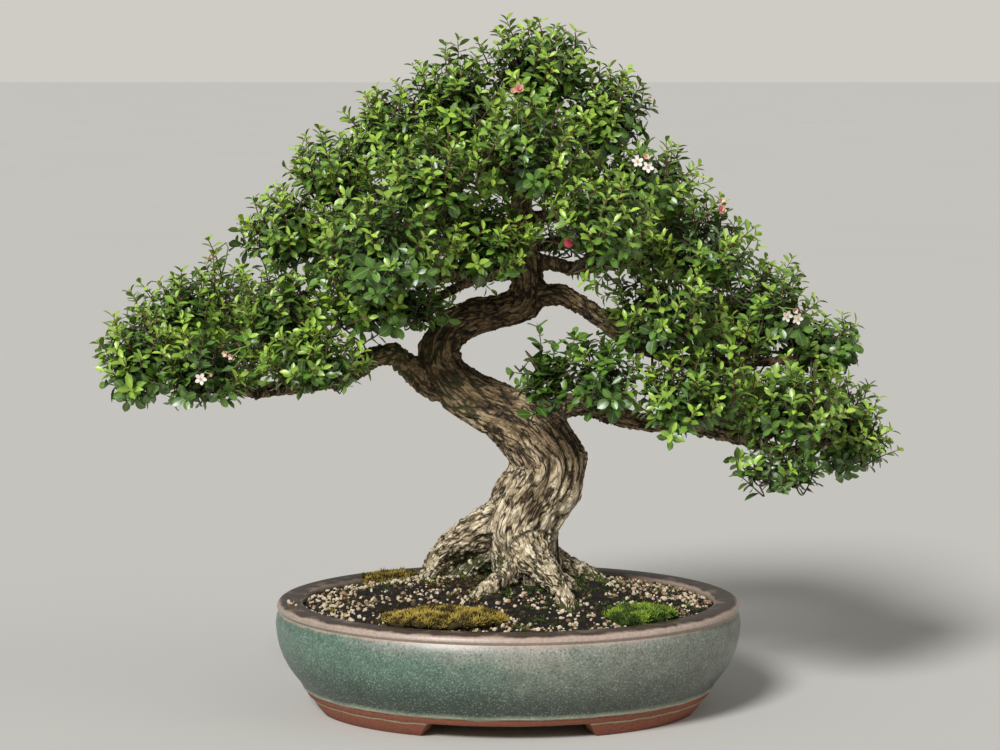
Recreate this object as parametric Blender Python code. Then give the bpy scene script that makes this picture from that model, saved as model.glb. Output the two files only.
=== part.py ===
"""Bonsai of a small-leaved berry shrub, in an oval glazed pot.

Metres, +Z up, +X to the viewer's right and +Y away from the viewer. The origin lies on the
table under the middle of the pot. Every length below is a real size.
"""

import math
import random

import bmesh
import bpy
from mathutils import Matrix, Vector, noise
from mathutils.bvhtree import BVHTree

# The gap that pieces which touch keep to each other.
SEAT_GAP = 0.0003
GROWN_GAP = 0.00045
SOIL_GAP = 0.0006

# Pot: an oval of half length and half depth at the belly. A ring is (inset from the belly, height).
POT_HALF_LENGTH = 0.170
POT_HALF_DEPTH = 0.1325
POT_SIDES = 32
FOOT_HEIGHT = 0.011
FLOOR_TOP = 0.0195
RIM_TOP = 0.080
RIM_INNER_INSET = 0.0195
POT_OUTSIDE = (
    (0.0225, FOOT_HEIGHT),
    (0.0188, 0.0185),
    (0.0095, 0.0310),
    (0.0026, 0.0460),
    (0.0000, 0.0640),
    (0.0028, 0.0722),
    (0.0008, 0.0752),
    (0.0040, RIM_TOP),
)
POT_INSIDE = (
    (RIM_INNER_INSET, RIM_TOP),
    (RIM_INNER_INSET, 0.0740),
    (0.0100, 0.0660),
    (0.0300, FLOOR_TOP),
)
FOOT_ARC_DEG = (113.0, 163.0)
FOOT_END_TAPER_DEG = 3.5
FOOT_TOP_INSETS = (0.0226, 0.0440)
FOOT_SOLE_INSETS = (0.0310, 0.0420)
FOOT_ROOT = 0.003
FOOT_STEPS = 5
DRAIN_RADIUS = 0.009
DRAIN_X = 0.070
DRAIN_SIDES = 10
DRAIN_CUT = 0.020

# Plastic mesh over each drain hole: a square of thin bars.
MESH_SIDE = 0.036
MESH_THICK = 0.001
MESH_HOLES = 2
MESH_BAR = 0.0018

# Soil: a mound from just under the rim up to the foot of the trunk.
SOIL_EDGE_Z = 0.0750
SOIL_MOUND = 0.0200
SOIL_SLOPE = 1.2
SOIL_RINGS = 4
SOIL_ROUGHNESS = 0.0012
SOIL_SEED = 5

# Moss cushions: centre x and y, half width, half depth and height. They keep inside the pot's lip.
MOSS = {
    "moss_cushion_left": (-0.045, -0.083, 0.046, 0.024, 0.0075),
    "moss_cushion_right": (0.094, -0.064, 0.030, 0.024, 0.0070),
    "moss_cushion_back": (-0.085, 0.068, 0.026, 0.016, 0.0060),
}
MOSS_REACH = 0.97
MOSS_SUNK = 0.001
MOSS_LUMPS = 0.14
MOSS_LUMP_PITCH = 2.6
MOSS_SEED_PITCH = 40
MOSS_UNDERSIDE = 0.35

# Wood: each path is points of (x, y, z, radius), from the thick end to the thin end.
TRUNK = (
    (0.014, 0.002, 0.068, 0.0240),
    (0.015, 0.002, 0.086, 0.0225),
    (0.013, 0.000, 0.112, 0.0235),
    (0.009, 0.000, 0.133, 0.0272),
    (0.0165, -0.002, 0.152, 0.0272),
    (0.027, -0.004, 0.168, 0.0276),
    (0.031, -0.005, 0.181, 0.0272),
    (0.022, -0.005, 0.197, 0.0256),
    (0.006, -0.004, 0.212, 0.0228),
    (-0.015, -0.002, 0.223, 0.0188),
    (-0.035, 0.000, 0.234, 0.0170),
    (-0.048, 0.003, 0.248, 0.0158),
    (-0.050, 0.005, 0.264, 0.0148),
    (-0.041, 0.007, 0.278, 0.0134),
    (-0.024, 0.006, 0.287, 0.0122),
    (-0.004, 0.004, 0.291, 0.0116),
    (0.011, 0.002, 0.296, 0.0132),
    (0.0145, 0.001, 0.311, 0.0112),
    (0.0115, 0.000, 0.332, 0.0092),
    (0.009, 0.000, 0.357, 0.0076),
    (0.013, 0.001, 0.386, 0.0060),
    (0.022, 0.002, 0.415, 0.0046),
    (0.026, 0.001, 0.440, 0.0036),
    (0.023, 0.000, 0.466, 0.0028),
)
ROOTS = {
    "root_front": (
        (0.012, -0.006, 0.132, 0.0185),
        (0.0195, -0.026, 0.113, 0.0142),
        (0.029, -0.036, 0.104, 0.0110),
        (0.038, -0.046, 0.096, 0.0080),
        (0.042, -0.056, 0.088, 0.0066),
        (0.042, -0.066, 0.072, 0.0048),
    ),
    "root_left": (
        (-0.002, 0.000, 0.140, 0.0185),
        (-0.026, 0.008, 0.126, 0.0150),
        (-0.042, 0.018, 0.113, 0.0125),
        (-0.052, 0.026, 0.100, 0.0105),
        (-0.058, 0.032, 0.086, 0.0085),
        (-0.062, 0.037, 0.072, 0.0058),
    ),
    "root_left_under": (
        (0.002, 0.006, 0.122, 0.0140),
        (-0.016, 0.014, 0.108, 0.0130),
        (-0.032, 0.021, 0.095, 0.0105),
        (-0.044, 0.026, 0.074, 0.0070),
    ),
    "root_back_right": (
        (0.022, 0.006, 0.114, 0.0125),
        (0.044, 0.018, 0.100, 0.0080),
        (0.060, 0.020, 0.0945, 0.0060),
        (0.072, 0.016, 0.087, 0.0046),
        (0.078, 0.011, 0.072, 0.0034),
    ),
    "root_low_left": (
        (0.006, -0.010, 0.108, 0.0100),
        (0.000, -0.027, 0.101, 0.0088),
        (-0.012, -0.035, 0.096, 0.0072),
        (-0.026, -0.041, 0.087, 0.0052),
        (-0.036, -0.045, 0.072, 0.0038),
    ),
    "root_back": (
        (0.014, 0.010, 0.116, 0.0160),
        (0.016, 0.034, 0.100, 0.0110),
        (0.020, 0.054, 0.090, 0.0078),
        (0.024, 0.070, 0.076, 0.0050),
    ),
    "root_back_left": (
        (0.004, 0.006, 0.112, 0.0130),
        (-0.014, 0.034, 0.098, 0.0090),
        (-0.026, 0.054, 0.088, 0.0066),
        (-0.034, 0.066, 0.074, 0.0044),
    ),
    "root_right": (
        (0.020, -0.006, 0.108, 0.0110),
        (0.038, -0.014, 0.094, 0.0076),
        (0.052, -0.019, 0.085, 0.0052),
        (0.062, -0.022, 0.072, 0.0036),
    ),
}
LIMBS = {
    "limb_left": (
        (-0.030, 0.000, 0.232, 0.0120),
        (-0.055, -0.002, 0.236, 0.0110),
        (-0.071, -0.004, 0.250, 0.0098),
        (-0.083, -0.008, 0.261, 0.0088),
        (-0.097, -0.013, 0.259, 0.0080),
        (-0.110, -0.018, 0.249, 0.0074),
        (-0.128, -0.022, 0.243, 0.0066),
        (-0.158, -0.026, 0.238, 0.0056),
        (-0.195, -0.030, 0.239, 0.0046),
        (-0.228, -0.038, 0.246, 0.0036),
        (-0.256, -0.054, 0.258, 0.0026),
    ),
    "limb_left_to_upper": (
        (-0.195, -0.030, 0.239, 0.0040),
        (-0.210, -0.018, 0.256, 0.0032),
        (-0.220, -0.010, 0.280, 0.0024),
    ),
    "limb_left_to_front": (
        (-0.158, -0.026, 0.238, 0.0042),
        (-0.178, -0.050, 0.236, 0.0034),
        (-0.204, -0.076, 0.246, 0.0024),
    ),
    "limb_left_to_mid": (
        (-0.128, -0.022, 0.243, 0.0050),
        (-0.142, -0.030, 0.254, 0.0038),
        (-0.156, -0.038, 0.274, 0.0026),
    ),
    "limb_left_to_inner": (
        (-0.110, -0.018, 0.249, 0.0048),
        (-0.122, -0.050, 0.242, 0.0036),
        (-0.134, -0.080, 0.254, 0.0024),
    ),
    "limb_left_to_back": (
        (-0.110, -0.018, 0.249, 0.0052),
        (-0.146, 0.024, 0.246, 0.0042),
        (-0.186, 0.070, 0.266, 0.0026),
    ),
    "limb_upper_left": (
        (0.012, 0.000, 0.322, 0.0080),
        (-0.020, -0.006, 0.318, 0.0068),
        (-0.056, -0.006, 0.318, 0.0056),
        (-0.100, -0.012, 0.326, 0.0044),
        (-0.146, -0.018, 0.342, 0.0028),
    ),
    "limb_upper_left_to_under": (
        (-0.020, -0.006, 0.318, 0.0050),
        (-0.048, -0.024, 0.304, 0.0038),
        (-0.074, -0.038, 0.297, 0.0026),
    ),
    "limb_upper_left_to_face": (
        (-0.020, -0.006, 0.318, 0.0050),
        (-0.052, -0.050, 0.322, 0.0038),
        (-0.082, -0.090, 0.336, 0.0026),
    ),
    "limb_centre": (
        (0.009, 0.000, 0.344, 0.0050),
        (-0.004, -0.020, 0.346, 0.0036),
        (-0.014, -0.036, 0.350, 0.0026),
    ),
    "limb_high_left": (
        (0.009, 0.000, 0.350, 0.0066),
        (-0.030, 0.004, 0.358, 0.0054),
        (-0.076, 0.006, 0.372, 0.0042),
        (-0.126, 0.008, 0.388, 0.0026),
    ),
    "limb_high_left_to_face": (
        (-0.012, 0.003, 0.355, 0.0044),
        (-0.036, -0.034, 0.366, 0.0034),
        (-0.058, -0.066, 0.383, 0.0024),
    ),
    "limb_high_left_to_crown": (
        (0.012, 0.001, 0.380, 0.0046),
        (-0.026, 0.004, 0.396, 0.0036),
        (-0.058, 0.006, 0.410, 0.0030),
        (-0.084, 0.006, 0.422, 0.0024),
    ),
    "limb_back_left": (
        (0.010, 0.000, 0.340, 0.0064),
        (-0.024, 0.042, 0.344, 0.0050),
        (-0.080, 0.084, 0.358, 0.0028),
    ),
    "limb_apex_left": (
        (0.020, 0.002, 0.410, 0.0036),
        (-0.008, 0.000, 0.428, 0.0030),
        (-0.038, -0.004, 0.446, 0.0022),
    ),
    "limb_apex_right": (
        (0.018, 0.002, 0.402, 0.0038),
        (0.044, 0.004, 0.420, 0.0030),
        (0.066, 0.002, 0.438, 0.0022),
    ),
    "limb_apex_front": (
        (0.012, 0.000, 0.378, 0.0044),
        (0.012, -0.032, 0.394, 0.0034),
        (0.008, -0.058, 0.413, 0.0024),
    ),
    "limb_apex_back": (
        (0.013, 0.001, 0.386, 0.0044),
        (0.016, 0.034, 0.402, 0.0034),
        (0.015, 0.062, 0.418, 0.0024),
    ),
    "limb_high_right": (
        (0.009, 0.000, 0.356, 0.0056),
        (0.042, 0.004, 0.362, 0.0046),
        (0.074, 0.008, 0.372, 0.0036),
        (0.098, 0.010, 0.386, 0.0026),
    ),
    "limb_upper_right": (
        (0.011, 0.000, 0.330, 0.0066),
        (0.046, 0.000, 0.322, 0.0054),
        (0.092, -0.002, 0.326, 0.0042),
        (0.134, -0.004, 0.343, 0.0026),
    ),
    "limb_upper_right_to_face": (
        (0.046, 0.000, 0.322, 0.0046),
        (0.058, -0.044, 0.332, 0.0036),
        (0.067, -0.086, 0.357, 0.0024),
    ),
    "limb_back_right": (
        (0.010, 0.000, 0.338, 0.0058),
        (0.050, 0.044, 0.338, 0.0046),
        (0.092, 0.082, 0.352, 0.0028),
    ),
    "limb_right": (
        (0.013, 0.002, 0.302, 0.0098),
        (0.040, -0.004, 0.303, 0.0080),
        (0.062, -0.008, 0.290, 0.0070),
        (0.086, -0.012, 0.270, 0.0060),
        (0.122, -0.014, 0.256, 0.0050),
        (0.162, -0.013, 0.255, 0.0042),
        (0.200, -0.011, 0.256, 0.0034),
        (0.233, -0.010, 0.261, 0.0024),
    ),
    "limb_right_to_mid": (
        (0.086, -0.012, 0.270, 0.0046),
        (0.102, -0.024, 0.276, 0.0036),
        (0.110, -0.036, 0.292, 0.0026),
    ),
    "limb_right_to_far": (
        (0.162, -0.013, 0.255, 0.0036),
        (0.176, -0.012, 0.270, 0.0030),
        (0.187, -0.010, 0.290, 0.0024),
    ),
    "limb_right_to_back": (
        (0.062, -0.008, 0.290, 0.0054),
        (0.104, 0.044, 0.278, 0.0042),
        (0.156, 0.080, 0.283, 0.0026),
    ),
    "limb_low_right": (
        (0.020, 0.006, 0.208, 0.0120),
        (0.040, 0.014, 0.220, 0.0100),
        (0.056, 0.012, 0.222, 0.0088),
        (0.074, 0.004, 0.215, 0.0078),
        (0.100, -0.006, 0.210, 0.0068),
        (0.130, -0.012, 0.209, 0.0058),
        (0.160, -0.014, 0.202, 0.0050),
        (0.196, -0.012, 0.190, 0.0042),
        (0.228, 0.010, 0.190, 0.0034),
        (0.252, 0.028, 0.200, 0.0026),
    ),
    "limb_low_to_right": (
        (0.160, -0.014, 0.202, 0.0038),
        (0.182, -0.034, 0.202, 0.0032),
        (0.203, -0.054, 0.220, 0.0024),
    ),
    "limb_low_to_mid": (
        (0.100, -0.006, 0.210, 0.0046),
        (0.124, -0.034, 0.210, 0.0036),
        (0.144, -0.062, 0.230, 0.0024),
    ),
    "limb_low_to_inner": (
        (0.056, 0.012, 0.222, 0.0052),
        (0.066, -0.016, 0.222, 0.0038),
        (0.068, -0.050, 0.242, 0.0024),
    ),
    "limb_low_to_drop": (
        (0.196, -0.012, 0.190, 0.0034),
        (0.195, -0.028, 0.185, 0.0028),
        (0.190, -0.050, 0.182, 0.0022),
    ),
    "limb_low_to_back": (
        (0.100, -0.006, 0.210, 0.0050),
        (0.130, 0.024, 0.204, 0.0040),
        (0.158, 0.050, 0.217, 0.0026),
    ),
}
TRUNK_SIDES = 12
TRUNK_STEP = 0.015
ROOT_SIDES = 6
ROOT_STEP = 0.020
LIMB_SIDES = 5
LIMB_STEP = 0.036
BARK_RIDGES = 4
BARK_DEPTH = 0.080
BARK_TWIST = 16.0
BARK_LUMPS = 0.08
BARK_LUMP_PITCH = 45
TRUNK_POINTS_IN_SOIL = 4

# Foliage: centre x, y, z and the half size along each, out to the leaf tips.
SPRAYS = {
    "spray_left_tip": (-0.255, -0.060, 0.264, 0.036, 0.044, 0.033),
    "spray_left_upper": (-0.230, -0.012, 0.292, 0.046, 0.052, 0.035),
    "spray_left_front": (-0.212, -0.076, 0.260, 0.048, 0.042, 0.027),
    "spray_left_mid": (-0.160, -0.034, 0.286, 0.046, 0.055, 0.038),
    "spray_left_inner": (-0.136, -0.076, 0.267, 0.040, 0.042, 0.024),
    "spray_left_back": (-0.190, 0.070, 0.280, 0.062, 0.052, 0.038),
    "spray_upper_left": (-0.155, -0.014, 0.354, 0.048, 0.058, 0.038),
    "spray_upper_left_high": (-0.127, 0.006, 0.391, 0.043, 0.054, 0.034),
    "spray_left_crown": (-0.083, 0.000, 0.424, 0.042, 0.054, 0.034),
    "spray_left_face": (-0.088, -0.085, 0.347, 0.052, 0.045, 0.042),
    "spray_left_face_high": (-0.054, -0.072, 0.390, 0.050, 0.042, 0.038),
    "spray_left_under": (-0.086, -0.040, 0.303, 0.058, 0.045, 0.027),
    "spray_left_back_high": (-0.092, 0.084, 0.350, 0.074, 0.050, 0.048),
    "spray_centre": (-0.020, -0.050, 0.350, 0.038, 0.036, 0.036),
    "spray_apex": (0.021, 0.000, 0.471, 0.046, 0.048, 0.034),
    "spray_apex_left": (-0.037, -0.006, 0.446, 0.044, 0.050, 0.038),
    "spray_apex_right": (0.069, 0.000, 0.438, 0.044, 0.050, 0.038),
    "spray_apex_front": (0.010, -0.062, 0.414, 0.046, 0.042, 0.038),
    "spray_apex_back": (0.015, 0.066, 0.410, 0.062, 0.046, 0.048),
    "spray_upper_right_high": (0.095, 0.000, 0.387, 0.050, 0.054, 0.036),
    "spray_upper_right": (0.133, 0.004, 0.342, 0.051, 0.058, 0.038),
    "spray_right_face": (0.062, -0.086, 0.362, 0.047, 0.042, 0.038),
    "spray_right_back_high": (0.092, 0.084, 0.352, 0.074, 0.050, 0.048),
    "spray_right_mid": (0.108, -0.046, 0.297, 0.058, 0.050, 0.039),
    "spray_right_far": (0.188, -0.002, 0.294, 0.050, 0.056, 0.036),
    "spray_right_far_tip": (0.226, 0.006, 0.269, 0.027, 0.038, 0.021),
    "spray_right_back": (0.160, 0.080, 0.282, 0.066, 0.050, 0.042),
    "spray_low_far_tip": (0.249, 0.036, 0.199, 0.032, 0.040, 0.034),
    "spray_low_right": (0.200, -0.040, 0.228, 0.050, 0.048, 0.036),
    "spray_low_mid": (0.132, -0.066, 0.240, 0.050, 0.044, 0.034),
    "spray_low_inner": (0.063, -0.062, 0.253, 0.044, 0.040, 0.037),
    "spray_low_drop": (0.192, -0.052, 0.188, 0.017, 0.022, 0.017),
    "spray_low_back": (0.166, 0.066, 0.222, 0.062, 0.050, 0.034),
}
CORE_SUBDIVISIONS = 1
CORE_SHARE = 0.70
CORE_LUMPS = 0.10
CORE_LUMP_PITCH = 9
CORE_SEED_PITCH = 90
CORE_MARGIN = 0.05
CORE_STEP_BACK = 0.02
CORE_LEAST_SHARE = 0.3
RAY_REACH = 0.5
PATH_FINENESS = 4
# A rosette is a whorl of leaves at a shoot's tip, its leaves larger than life so that they cover.
LEAF_LENGTHS = (0.024, 0.030)
LEAF_RISE = (0.06, 0.40)
ROSETTE_SHAPE = dict(
    count=4, half_width=0.0090, widest=0.62, thick=0.0017, eye_share=0.20, eye_dome=0.0016
)
ROSETTE_UPTURN = 0.35
STALK_SUNK = 0.011
STALK_ABOVE = (0.006, 0.009)
CLEARANCE_SCALE = 1.05
CROWN_MIDDLE = Vector((0.0, 0.0, 0.33))
ROSETTE_TRIES = 48
ROSETTES_PER_SPRAY = 6
ROSETTES_ON_SMALL = 5
SMALL_HALF_HEIGHT = 0.0345
ROSETTE_SEED = 11

# Blooms and fruit: the spray that bears each, the way it faces from the spray's middle, its stalk.
BLOOM_STALK = 0.016
SPROUT_STALK = 0.040
BLOOMS = {
    "bloom_left": ("spray_left_front", (-0.02, -1.00, -0.02), BLOOM_STALK),
    "bloom_left_inner": ("spray_left_front", (0.58, -0.75, 0.31), BLOOM_STALK),
    "bloom_left_sprout": ("spray_left_upper", (0.48, -0.21, 0.86), SPROUT_STALK),
    "bloom_apex": ("spray_apex_front", (-0.02, -0.10, 1.00), BLOOM_STALK),
    "bloom_apex_right": ("spray_apex_right", (0.84, -0.51, 0.21), BLOOM_STALK),
    "bloom_upper_right": ("spray_upper_right_high", (0.11, -0.97, 0.21), BLOOM_STALK),
    "bloom_right_edge": ("spray_upper_right", (0.40, -0.66, 0.64), BLOOM_STALK),
    "bloom_far_right": ("spray_right_far", (0.16, -0.97, 0.18), BLOOM_STALK),
}
PETAL_LENGTH = 0.0062
PETAL_RISE = (0.25, 0.35)
BLOOM_SHAPE = dict(
    count=5, half_width=0.0019, widest=0.66, thick=0.0009, eye_share=0.26, eye_dome=0.0006
)
BLOOM_CUP = 0.003
STALK_RADIUS = 0.0009
STALK_SIDES = 5
STALK_SEAT = 0.002
BERRY_SPRAY = "spray_right_face"
BERRY_FACES = (-0.88, -0.18, -0.45)
BERRY_RADIUS = 0.0034
BERRY_STALK = 0.012

# The rib of a leaf or petal is highest at this share of the way to its widest place.
RIB_PLACE = 0.8
# Points nearer than this are one point after a Boolean.
MERGE_DISTANCE = 0.000001
THINNEST_EDGE = 0.000002


def clear_scene():
    for old in list(bpy.data.objects):
        bpy.data.objects.remove(old)


def material(name, colour, roughness):
    made = bpy.data.materials.new(name)
    made.use_nodes = True
    shader = made.node_tree.nodes["Principled BSDF"]
    shader.inputs["Base Color"].default_value = (*colour, 1.0)
    shader.inputs["Roughness"].default_value = roughness
    return made


def object_from(bm, name, finish):
    """A new object that holds this bmesh, with its faces turned outwards."""
    bmesh.ops.recalc_face_normals(bm, faces=bm.faces[:])
    mesh = bpy.data.meshes.new(name)
    bm.to_mesh(mesh)
    bm.free()
    mesh.materials.append(finish)
    made = bpy.data.objects.new(name, mesh)
    bpy.context.scene.collection.objects.link(made)
    return made


def skin(bm, first, second):
    """Faces between two rings with the same number of points."""
    for i in range(len(first)):
        j = (i + 1) % len(first)
        bm.faces.new((first[i], first[j], second[j], second[i]))


def biggest_body(mesh):
    """Drops loose scraps that a Boolean may leave, and keeps the body with the most points."""
    bm = bmesh.new()
    bm.from_mesh(mesh)
    bmesh.ops.remove_doubles(bm, verts=bm.verts[:], dist=MERGE_DISTANCE)
    bmesh.ops.dissolve_degenerate(bm, edges=bm.edges[:], dist=THINNEST_EDGE)
    left = set(bm.verts)
    bodies = []
    while left:
        body, reach = set(), [left.pop()]
        while reach:
            point = reach.pop()
            body.add(point)
            for edge in point.link_edges:
                other = edge.other_vert(point)
                if other in left:
                    left.discard(other)
                    reach.append(other)
        bodies.append(body)
    bodies.sort(key=len)
    for scrap in bodies[:-1]:
        bmesh.ops.delete(bm, geom=list(scrap), context="VERTS")
    bmesh.ops.triangulate(bm, faces=bm.faces[:])
    bm.to_mesh(mesh)
    bm.free()


def combine(target, others, operation):
    """One Boolean of the target with all the others, applied. The others are then removed."""
    group = bpy.data.collections.new("operands")
    bpy.context.scene.collection.children.link(group)
    for other in others:
        group.objects.link(other)
        bpy.context.scene.collection.objects.unlink(other)
    modifier = target.modifiers.new("combine", "BOOLEAN")
    modifier.operation = operation
    modifier.operand_type = "COLLECTION"
    modifier.collection = group
    graph = bpy.context.evaluated_depsgraph_get()
    mesh = bpy.data.meshes.new_from_object(target.evaluated_get(graph))
    target.modifiers.clear()
    target.data = mesh
    for other in list(group.objects):
        bpy.data.objects.remove(other)
    bpy.data.collections.remove(group)
    biggest_body(mesh)


def oval_point(inset, angle, z):
    return Vector(
        (
            (POT_HALF_LENGTH - inset) * math.cos(angle),
            (POT_HALF_DEPTH - inset) * math.sin(angle),
            z,
        )
    )


def oval_ring(bm, inset, z, sides=POT_SIDES):
    return [bm.verts.new(oval_point(inset, math.tau * i / sides, z)) for i in range(sides)]


def pot_foot(finish, mirror_x, mirror_y):
    """A foot that follows the pot's oval round one corner, and narrows towards its sole."""
    first, last = (math.radians(d) for d in FOOT_ARC_DEG)
    taper = math.radians(FOOT_END_TAPER_DEG)
    bm = bmesh.new()
    sections = []
    for i in range(FOOT_STEPS + 1):
        share = i / FOOT_STEPS
        top = first + (last - first) * share
        sole = first + taper + (last - first - 2 * taper) * share
        corners = (
            oval_point(FOOT_TOP_INSETS[0], top, FOOT_HEIGHT + FOOT_ROOT),
            oval_point(FOOT_TOP_INSETS[1], top, FOOT_HEIGHT + FOOT_ROOT),
            oval_point(FOOT_SOLE_INSETS[1], sole, 0.0),
            oval_point(FOOT_SOLE_INSETS[0], sole, 0.0),
        )
        sections.append(
            [bm.verts.new((c.x * mirror_x, c.y * mirror_y, c.z)) for c in corners]
        )
    for one, other in zip(sections, sections[1:]):
        skin(bm, one, other)
    bm.faces.new(sections[0])
    bm.faces.new(sections[-1])
    return object_from(bm, "foot", finish)


def cylinder(name, finish, centre, radius, depth, sides):
    bm = bmesh.new()
    bmesh.ops.create_cone(
        bm,
        cap_ends=True,
        segments=sides,
        radius1=radius,
        radius2=radius,
        depth=depth,
        matrix=Matrix.Translation(centre),
    )
    return object_from(bm, name, finish)


def build_pot(finish):
    """The fired pot: a bellied oval bowl with an inturned lip, four feet and two drain holes."""
    bm = bmesh.new()
    rings = [oval_ring(bm, inset, z) for inset, z in POT_OUTSIDE + POT_INSIDE]
    for one, other in zip(rings, rings[1:]):
        skin(bm, one, other)
    bm.faces.new(rings[0])
    bm.faces.new(rings[-1])
    pot = object_from(bm, "pot", finish)
    feet = [pot_foot(finish, sx, sy) for sx in (1, -1) for sy in (1, -1)]
    combine(pot, feet, "UNION")
    middle = (FOOT_HEIGHT + FLOOR_TOP) / 2
    drains = [
        cylinder("drain", finish, (x, 0, middle), DRAIN_RADIUS, DRAIN_CUT, DRAIN_SIDES)
        for x in (-DRAIN_X, DRAIN_X)
    ]
    combine(pot, drains, "DIFFERENCE")
    return pot


def build_drain_mesh(name, x, finish):
    """A square of plastic mesh that keeps the soil from falling through a drain hole."""
    bottom = FLOOR_TOP + SEAT_GAP
    pitch = (MESH_SIDE - MESH_BAR) / MESH_HOLES
    marks = []
    for i in range(MESH_HOLES + 1):
        start = -MESH_SIDE / 2 + i * pitch
        marks += [start, start + MESH_BAR]
    bm = bmesh.new()
    levels = []
    for z in (bottom, bottom + MESH_THICK):
        levels.append([[bm.verts.new((x + u, v, z)) for u in marks] for v in marks])
    for level in levels:
        for row in range(len(marks) - 1):
            for column in range(len(marks) - 1):
                if row % 2 and column % 2:
                    continue
                bm.faces.new(
                    (
                        level[row][column],
                        level[row][column + 1],
                        level[row + 1][column + 1],
                        level[row + 1][column],
                    )
                )
    bm.edges.ensure_lookup_table()
    low, high = levels
    pairs = {low[r][c]: high[r][c] for r in range(len(marks)) for c in range(len(marks))}
    for edge in [e for e in bm.edges if e.is_boundary and e.verts[0] in pairs]:
        a, b = edge.verts
        bm.faces.new((a, b, pairs[b], pairs[a]))
    return object_from(bm, name, finish)


def soil_height(share):
    """Height of the soil at this share of the way from the middle to the pot's wall."""
    return SOIL_EDGE_Z + SOIL_MOUND * (1 - min(1.0, share) ** 2) ** SOIL_SLOPE


def soil_share(x, y):
    return math.hypot(
        x / (POT_HALF_LENGTH - RIM_INNER_INSET), y / (POT_HALF_DEPTH - RIM_INNER_INSET)
    )


def build_soil(finish, cutters):
    """The root-ball soil: it fills the pot and rises in a gritty mound to the trunk."""
    draw = random.Random(SOIL_SEED)
    bm = bmesh.new()
    _, lip, shoulder, corner = POT_INSIDE
    rings = [
        oval_ring(bm, corner[0] + 2 * SOIL_GAP, FLOOR_TOP + MESH_THICK + 2 * SEAT_GAP),
        oval_ring(bm, shoulder[0] + SOIL_GAP, shoulder[1] - SOIL_GAP),
        oval_ring(bm, lip[0] + SOIL_GAP, lip[1] - SOIL_GAP),
    ]
    reach = (
        POT_HALF_LENGTH - RIM_INNER_INSET - SOIL_GAP,
        POT_HALF_DEPTH - RIM_INNER_INSET - SOIL_GAP,
    )
    for k in range(SOIL_RINGS):
        share = 1 - k / SOIL_RINGS
        ring = []
        for i in range(POT_SIDES):
            angle = math.tau * i / POT_SIDES
            rough = 0.0 if k == 0 else draw.uniform(-SOIL_ROUGHNESS, SOIL_ROUGHNESS)
            ring.append(
                bm.verts.new(
                    (
                        reach[0] * share * math.cos(angle),
                        reach[1] * share * math.sin(angle),
                        soil_height(share) + rough,
                    )
                )
            )
        rings.append(ring)
    for one, other in zip(rings, rings[1:]):
        skin(bm, one, other)
    bm.faces.new(rings[0])
    middle = bm.verts.new((0, 0, soil_height(0)))
    for i in range(POT_SIDES):
        bm.faces.new((rings[-1][i], rings[-1][(i + 1) % POT_SIDES], middle))
    bmesh.ops.triangulate(bm, faces=bm.faces[:])
    soil = object_from(bm, "soil", finish)
    combine(soil, cutters, "DIFFERENCE")
    return soil


def build_moss(name, finish, grow=0.0):
    """A moss cushion, set a little into the soil.

    With grow it is the hollow that the soil keeps for it.
    """
    x, y, half_width, half_depth, height = MOSS[name]
    bm = bmesh.new()
    bmesh.ops.create_icosphere(bm, subdivisions=2, radius=1.0)
    base = soil_height(soil_share(x, y)) - MOSS_SUNK
    seed = Vector((x, y, 0)) * MOSS_SEED_PITCH
    for v in bm.verts:
        tuft = 1 + MOSS_LUMPS * noise.noise(v.co * MOSS_LUMP_PITCH + seed)
        v.co = Vector(
            (
                v.co.x * half_width * tuft,
                v.co.y * half_depth * tuft,
                v.co.z * height * (tuft if v.co.z > 0 else MOSS_UNDERSIDE),
            )
        )
        over = soil_share(x + v.co.x, y + v.co.y) / MOSS_REACH
        if over > 1:
            v.co.x -= (x + v.co.x) * (1 - 1 / over)
            v.co.y -= (y + v.co.y) * (1 - 1 / over)
    bm.normal_update()
    for v in bm.verts:
        v.co += v.normal * grow + Vector((x, y, base))
    return object_from(bm, name, finish)


def smooth_path(points, step):
    """Points along a smooth curve through these, about a step apart, each (place, radius)."""
    places = [Vector(p[:3]) for p in points]
    radii = [p[3] for p in points]
    made = []
    for i in range(len(points) - 1):
        before = places[max(0, i - 1)]
        after = places[min(len(places) - 1, i + 2)]
        a, b = places[i], places[i + 1]
        count = max(1, round((b - a).length / step))
        for k in range(count):
            t = k / count
            place = 0.5 * (
                2 * a
                + (b - before) * t
                + (2 * before - 5 * a + 4 * b - after) * t**2
                + (3 * a - before - 3 * b + after) * t**3
            )
            made.append((place, radii[i] + (radii[i + 1] - radii[i]) * t))
    made.append((places[-1], radii[-1]))
    return made


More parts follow.
